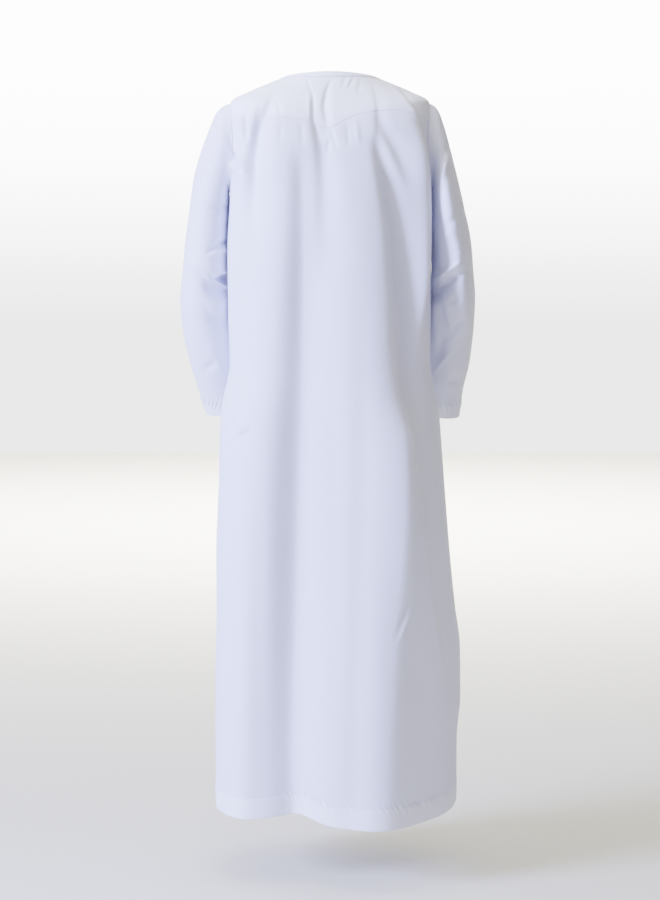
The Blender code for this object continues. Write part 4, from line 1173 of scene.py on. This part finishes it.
def body_line(bearing, drop, lift):
    """A stitch line on the body, with its outward directions."""
    points = on_body(bearing, drop, lift)
    return points, unit(on_body(bearing, drop, lift + OUTWARD_PROBE) - points)


def sleeve_line(sleeve, station, turn, lift):
    """The same on a sleeve."""
    points = on_sleeve(sleeve, station, turn, lift)
    return points, unit(on_sleeve(sleeve, station, turn, lift + OUTWARD_PROBE) - points)


def stitch_placket(thread):
    """Two rows down the over placket's sides and two across its foot."""
    top = PLACKET_LIFT + PLACKET_THICKNESS
    end = PLACKET_CROSS_STITCHES_UP[0]
    down = np.linspace(BINDING_WIDTH + end, PLACKET_LENGTH - end, PLACKET_LINE_POINTS)
    away = front_turn(PLACKET_WIDTH / 2 - PLACKET_STITCH_INSET, down)
    lines = [body_line(math.pi + side * away, down, top) for side in (1, -1)]
    across = math.pi + np.linspace(-1, 1, PLACKET_CROSS_POINTS) * away[-1]
    lines += [body_line(across, PLACKET_LENGTH - up, top) for up in PLACKET_CROSS_STITCHES_UP]
    stitches("stitching_placket", lines, thread)


def make_stitching(thread):
    round_body = np.linspace(-math.pi, math.pi, HEM_LINE_POINTS)
    fold = with_hem(BACK_LENGTH - HEM_HEIGHT + HEM_STITCH_BELOW_FOLD, round_body)
    stitches("stitching_hem", [body_line(round_body, fold, HEM_LIFT)], thread)
    neck_end = math.pi - NECK_STITCH_GAP
    round_neck = np.linspace(-neck_end, neck_end, SEAM_LINE_POINTS)
    neck = body_line(round_neck, BINDING_WIDTH - BINDING_STITCH_UP, BINDING_LIFT)
    stitches("stitching_neck", [neck], thread)
    end_bearing = armhole_place(BACK_SEAM_TURN)[0]
    seam = np.linspace(-end_bearing, end_bearing, SEAM_LINE_POINTS)
    yoke = [body_line(seam, yoke_seam_drop(seam) - up, YOKE_LIFT) for up in YOKE_STITCHES_UP]
    stitches("stitching_yoke", yoke, thread)
    stitch_placket(thread)
    turns = np.linspace(0, 2 * math.pi, SLEEVE_LINE_POINTS)
    cuff = 1 - (CUFF_HEM_HEIGHT - HEM_STITCH_BELOW_FOLD) / SLEEVE_LENGTH
    for sleeve in SLEEVES:
        lines = [
            sleeve_line(sleeve, cuff, turns, HEM_LIFT),
            sleeve_line(sleeve, ARMHOLE_STITCH_STATION, turns, 0.0),
        ]
        stitches(f"stitching_sleeve_{sleeve}", lines, thread)


def make_buttons(material, thread):
    """Buttons with a raised rim down the placket, each with its crossed thread."""
    turns = np.linspace(0, 2 * math.pi, BUTTON_SIDES, endpoint=False)[:, None]
    last = (len(BUTTON_PROFILE) - 1) * BUTTON_SIDES
    faces = [list(range(BUTTON_SIDES))] + tube_faces(len(BUTTON_PROFILE), BUTTON_SIDES)
    for n in range(BUTTON_SIDES):
        faces.append([last + (n + 1) % BUTTON_SIDES, last + n, last + BUTTON_SIDES])
    face_height = BUTTON_PROFILE[-1][1]
    ends = np.linspace(-1, 1, 3)[:, None] * BUTTON_RADIUS * BUTTON_THREAD_REACH
    for number, drop in enumerate(BUTTON_DROPS, 1):
        seat, outward = body_line(math.pi, drop, PLACKET_LIFT + PLACKET_THICKNESS)
        side = unit(np.cross(outward, UPWARD))
        up = np.cross(side, outward)
        rim = np.cos(turns) * side + np.sin(turns) * up
        rings = [
            seat + radius * BUTTON_RADIUS * rim + height * BUTTON_HEIGHT * outward
            for radius, height in BUTTON_PROFILE
        ]
        points = np.concatenate(rings + [[seat + face_height * BUTTON_HEIGHT * outward]])
        disc = piece(f"button_{number}_disc", points, faces, material)
        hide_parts(f"button_{number}")
        middle = seat + (face_height + BUTTON_THREAD_RISE) * BUTTON_HEIGHT * outward
        lines = [
            (middle + ends * (side + slant * up) / math.sqrt(2), np.repeat(outward[None], 3, axis=0))
            for slant in (1, -1)
        ]
        stitches(f"button_{number}_thread", lines, thread)


# Materials


def feed(tree, node, **inputs):
    """Sets a shader node's inputs by name, to a value or linked from another node's output."""
    for name, value in inputs.items():
        socket = node.inputs[name.replace("_", " ")]
        if isinstance(value, bpy.types.NodeSocket):
            tree.links.new(value, socket)
        else:
            socket.default_value = value
    return node


def add(tree, kind, **inputs):
    return feed(tree, tree.nodes.new(kind), **inputs)


def new_material(name):
    material = bpy.data.materials.new(name)
    material.use_nodes = True
    material.node_tree.nodes.clear()
    return material, material.node_tree


def noise(tree, place, **inputs):
    return add(tree, "ShaderNodeTexNoise", Vector=place, **inputs).outputs["Fac"]


def bump(tree, **inputs):
    return add(tree, "ShaderNodeBump", **inputs).outputs["Normal"]


def toned(tree, factor, dark, light):
    """A colour between two, by a factor."""
    ramp = add(tree, "ShaderNodeValToRGB", Fac=factor)
    ramp.color_ramp.elements[0].color = (*dark, 1)
    ramp.color_ramp.elements[1].color = (*light, 1)
    return ramp.outputs["Color"]


def ranged(tree, value, low, high):
    """A number between two, by a factor."""
    return add(tree, "ShaderNodeMapRange", Value=value, To_Min=low, To_Max=high).outputs["Result"]


def mixed(tree, factor, here, there):
    """Two colours mixed. Each is three numbers or another node's output."""
    mix = tree.nodes.new("ShaderNodeMix")
    mix.data_type = "RGBA"
    mix.clamp_result = False
    here, there = ((*colour, 1) if isinstance(colour, tuple) else colour for colour in (here, there))
    return feed(tree, mix, Factor=factor, A=here, B=there).outputs["Result"]


def cloth_material():
    """Thin white plain weave: yarns, soft crinkle, a little sheen and light coming through."""
    material, tree = new_material("white_thobe_cloth")
    sheet = tree.nodes.new("ShaderNodeUVMap")
    sheet.uv_map = "cloth"
    uv = sheet.outputs["UV"]
    weave = tree.nodes.new("ShaderNodeMath")
    weave.operation = "MULTIPLY"
    for slot, direction in enumerate(("X", "Y")):
        wave = add(tree, "ShaderNodeTexWave", Vector=uv, Scale=YARN_SCALE, Distortion=0.4, Detail=1.0)
        wave.bands_direction = direction
        tree.links.new(wave.outputs["Fac"], weave.inputs[slot])
    stretch = add(tree, "ShaderNodeMapping", Vector=uv, Scale=CRINKLE_STRETCH).outputs["Vector"]
    crinkle = noise(tree, stretch, Scale=1.0, Detail=4.0, Roughness=0.55, Distortion=0.6)
    soft = bump(tree, Strength=0.5, Distance=CRINKLE_HEIGHT, Height=crinkle)
    yarns = bump(tree, Strength=0.35, Distance=YARN_HEIGHT, Height=weave.outputs["Value"], Normal=soft)
    uneven = noise(tree, uv, Scale=9.0, Detail=3.0, Roughness=0.6)
    double = tree.nodes.new("ShaderNodeAttribute")
    double.attribute_name = "layers"
    layers = double.outputs["Fac"]
    colour = mixed(tree, layers, toned(tree, uneven, CLOTH_DARK, CLOTH_LIGHT), CLOTH_DOUBLE)
    face = add(
        tree, "ShaderNodeBsdfPrincipled", Sheen_Weight=0.12, Sheen_Roughness=0.45, IOR=1.45,
        Specular_IOR_Level=0.3, Base_Color=colour, Roughness=ranged(tree, uneven, *CLOTH_ROUGHNESS),
        Normal=yarns,
    )
    through = add(tree, "ShaderNodeBsdfTranslucent", Color=colour, Normal=soft)
    both = add(tree, "ShaderNodeMixShader", Fac=ranged(tree, layers, THROUGH_SINGLE, THROUGH_DOUBLE))
    tree.links.new(face.outputs["BSDF"], both.inputs[1])
    tree.links.new(through.outputs["BSDF"], both.inputs[2])
    add(tree, "ShaderNodeOutputMaterial", Surface=both.outputs["Shader"])
    return material


def plain_material(name, colour, roughness, grain_scale, grain_height, sheen):
    """One colour with a fine uneven grain in its tone, roughness and surface."""
    material, tree = new_material(name)
    place = tree.nodes.new("ShaderNodeTexCoord").outputs["Object"]
    grain = noise(tree, place, Scale=grain_scale, Detail=3.0, Roughness=0.6)
    darker = [GRAIN_DARK_SHARE * channel for channel in colour]
    face = add(
        tree, "ShaderNodeBsdfPrincipled", Sheen_Weight=sheen,
        Base_Color=toned(tree, grain, darker, colour),
        Roughness=ranged(tree, grain, roughness - GRAIN_ROUGHNESS, roughness + GRAIN_ROUGHNESS),
        Normal=bump(tree, Strength=0.4, Distance=grain_height, Height=grain),
    )
    add(tree, "ShaderNodeOutputMaterial", Surface=face.outputs["BSDF"])
    return material


# Studio


def make_floor():
    r, z = FLOOR_REACH, FLOOR_HEIGHT
    mesh = bpy.data.meshes.new("floor")
    mesh.from_pydata([(-r, -r, z), (r, -r, z), (r, r, z), (-r, r, z)], [], [(0, 1, 2, 3)])
    pale = plain_material(
        "pale_floor", FLOOR_COLOUR, roughness=0.7, grain_scale=4.0, grain_height=0.0002, sheen=0.0,
    )
    mesh.materials.append(pale)
    placed("floor", mesh)


def graded(tree, place, direction, low, high, here, there):
    """Fades from one colour to another with the direction that is looked in."""
    along = tree.nodes.new("ShaderNodeVectorMath")
    along.operation = "DOT_PRODUCT"
    along.inputs[1].default_value = direction
    tree.links.new(place, along.inputs[0])
    part = tree.nodes.new("ShaderNodeMapRange")
    part.interpolation_type = "SMOOTHSTEP"
    feed(tree, part, Value=along.outputs["Value"], From_Min=low, From_Max=high)
    return mixed(tree, part.outputs["Result"], here, there)


def make_world():
    """Soft light all round, dim on the wearer's right and white where the backdrop would be."""
    world = bpy.data.worlds.new("studio")
    world.use_nodes = True
    tree = world.node_tree
    tree.nodes.clear()
    place = tree.nodes.new("ShaderNodeTexCoord").outputs["Generated"]
    shade = graded(tree, place, SHADE_DIRECTION, SHADE_FROM, SHADE_TO, WORLD_LIGHT, WORLD_SHADE)
    above = graded(tree, place, UPWARD, TOP_FROM, TOP_TO, shade, WORLD_TOP)
    sweep = graded(tree, place, UPWARD, 0.0, HORIZON_TO, WORLD_HORIZON, WORLD_BACK)
    back = graded(tree, place, BACK_DIRECTION, BACK_FROM, BACK_TO, above, sweep)
    glow = add(tree, "ShaderNodeBackground", Color=back)
    add(tree, "ShaderNodeOutputWorld", Surface=glow.outputs["Background"])
    bpy.context.scene.world = world


def look_from(made, place, aim):
    """Puts a light or camera at a place and turns it to its aim."""
    made.location = place
    made.rotation_euler = (Vector(aim) - Vector(place)).to_track_quat("-Z", "Y").to_euler()


def make_light(name, place, aim, size, power, colour):
    light = bpy.data.lights.new(name, "AREA")
    light.shape = "DISK"
    light.size = size
    light.energy = power
    light.color = colour
    look_from(placed(name, light), place, aim)


def make_camera():
    data = bpy.data.cameras.new("photo_view")
    data.sensor_width = SENSOR_WIDTH
    data.lens = SENSOR_WIDTH * CAMERA_DISTANCE / PICTURE_HEIGHT
    data.dof.use_dof = False
    camera = placed("photo_view", data)
    look_from(camera, CAMERA_PLACE, CAMERA_AIM)
    bpy.context.scene.camera = camera


def main():
    for old in list(bpy.data.objects):
        bpy.data.objects.remove(old, do_unlink=True)
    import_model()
    cloth = cloth_material()
    thread = plain_material(
        "white_thread", THREAD_COLOUR, roughness=0.6, grain_scale=4000.0, grain_height=0.00003, sheen=0.1,
    )
    button_white = plain_material(
        "button_white", BUTTON_COLOUR, roughness=0.25, grain_scale=900.0, grain_height=0.00001, sheen=0.0,
    )
    make_body(cloth)
    make_yoke(cloth)
    make_binding(cloth)
    for sleeve in SLEEVES:
        make_sleeve(sleeve, cloth)
    make_plackets(cloth)
    make_pocket_bags(cloth)
    make_stitching(thread)
    make_buttons(button_white, thread)
    make_floor()
    make_world()
    for light in LIGHTS:
        make_light(*light)
    make_camera()


main()
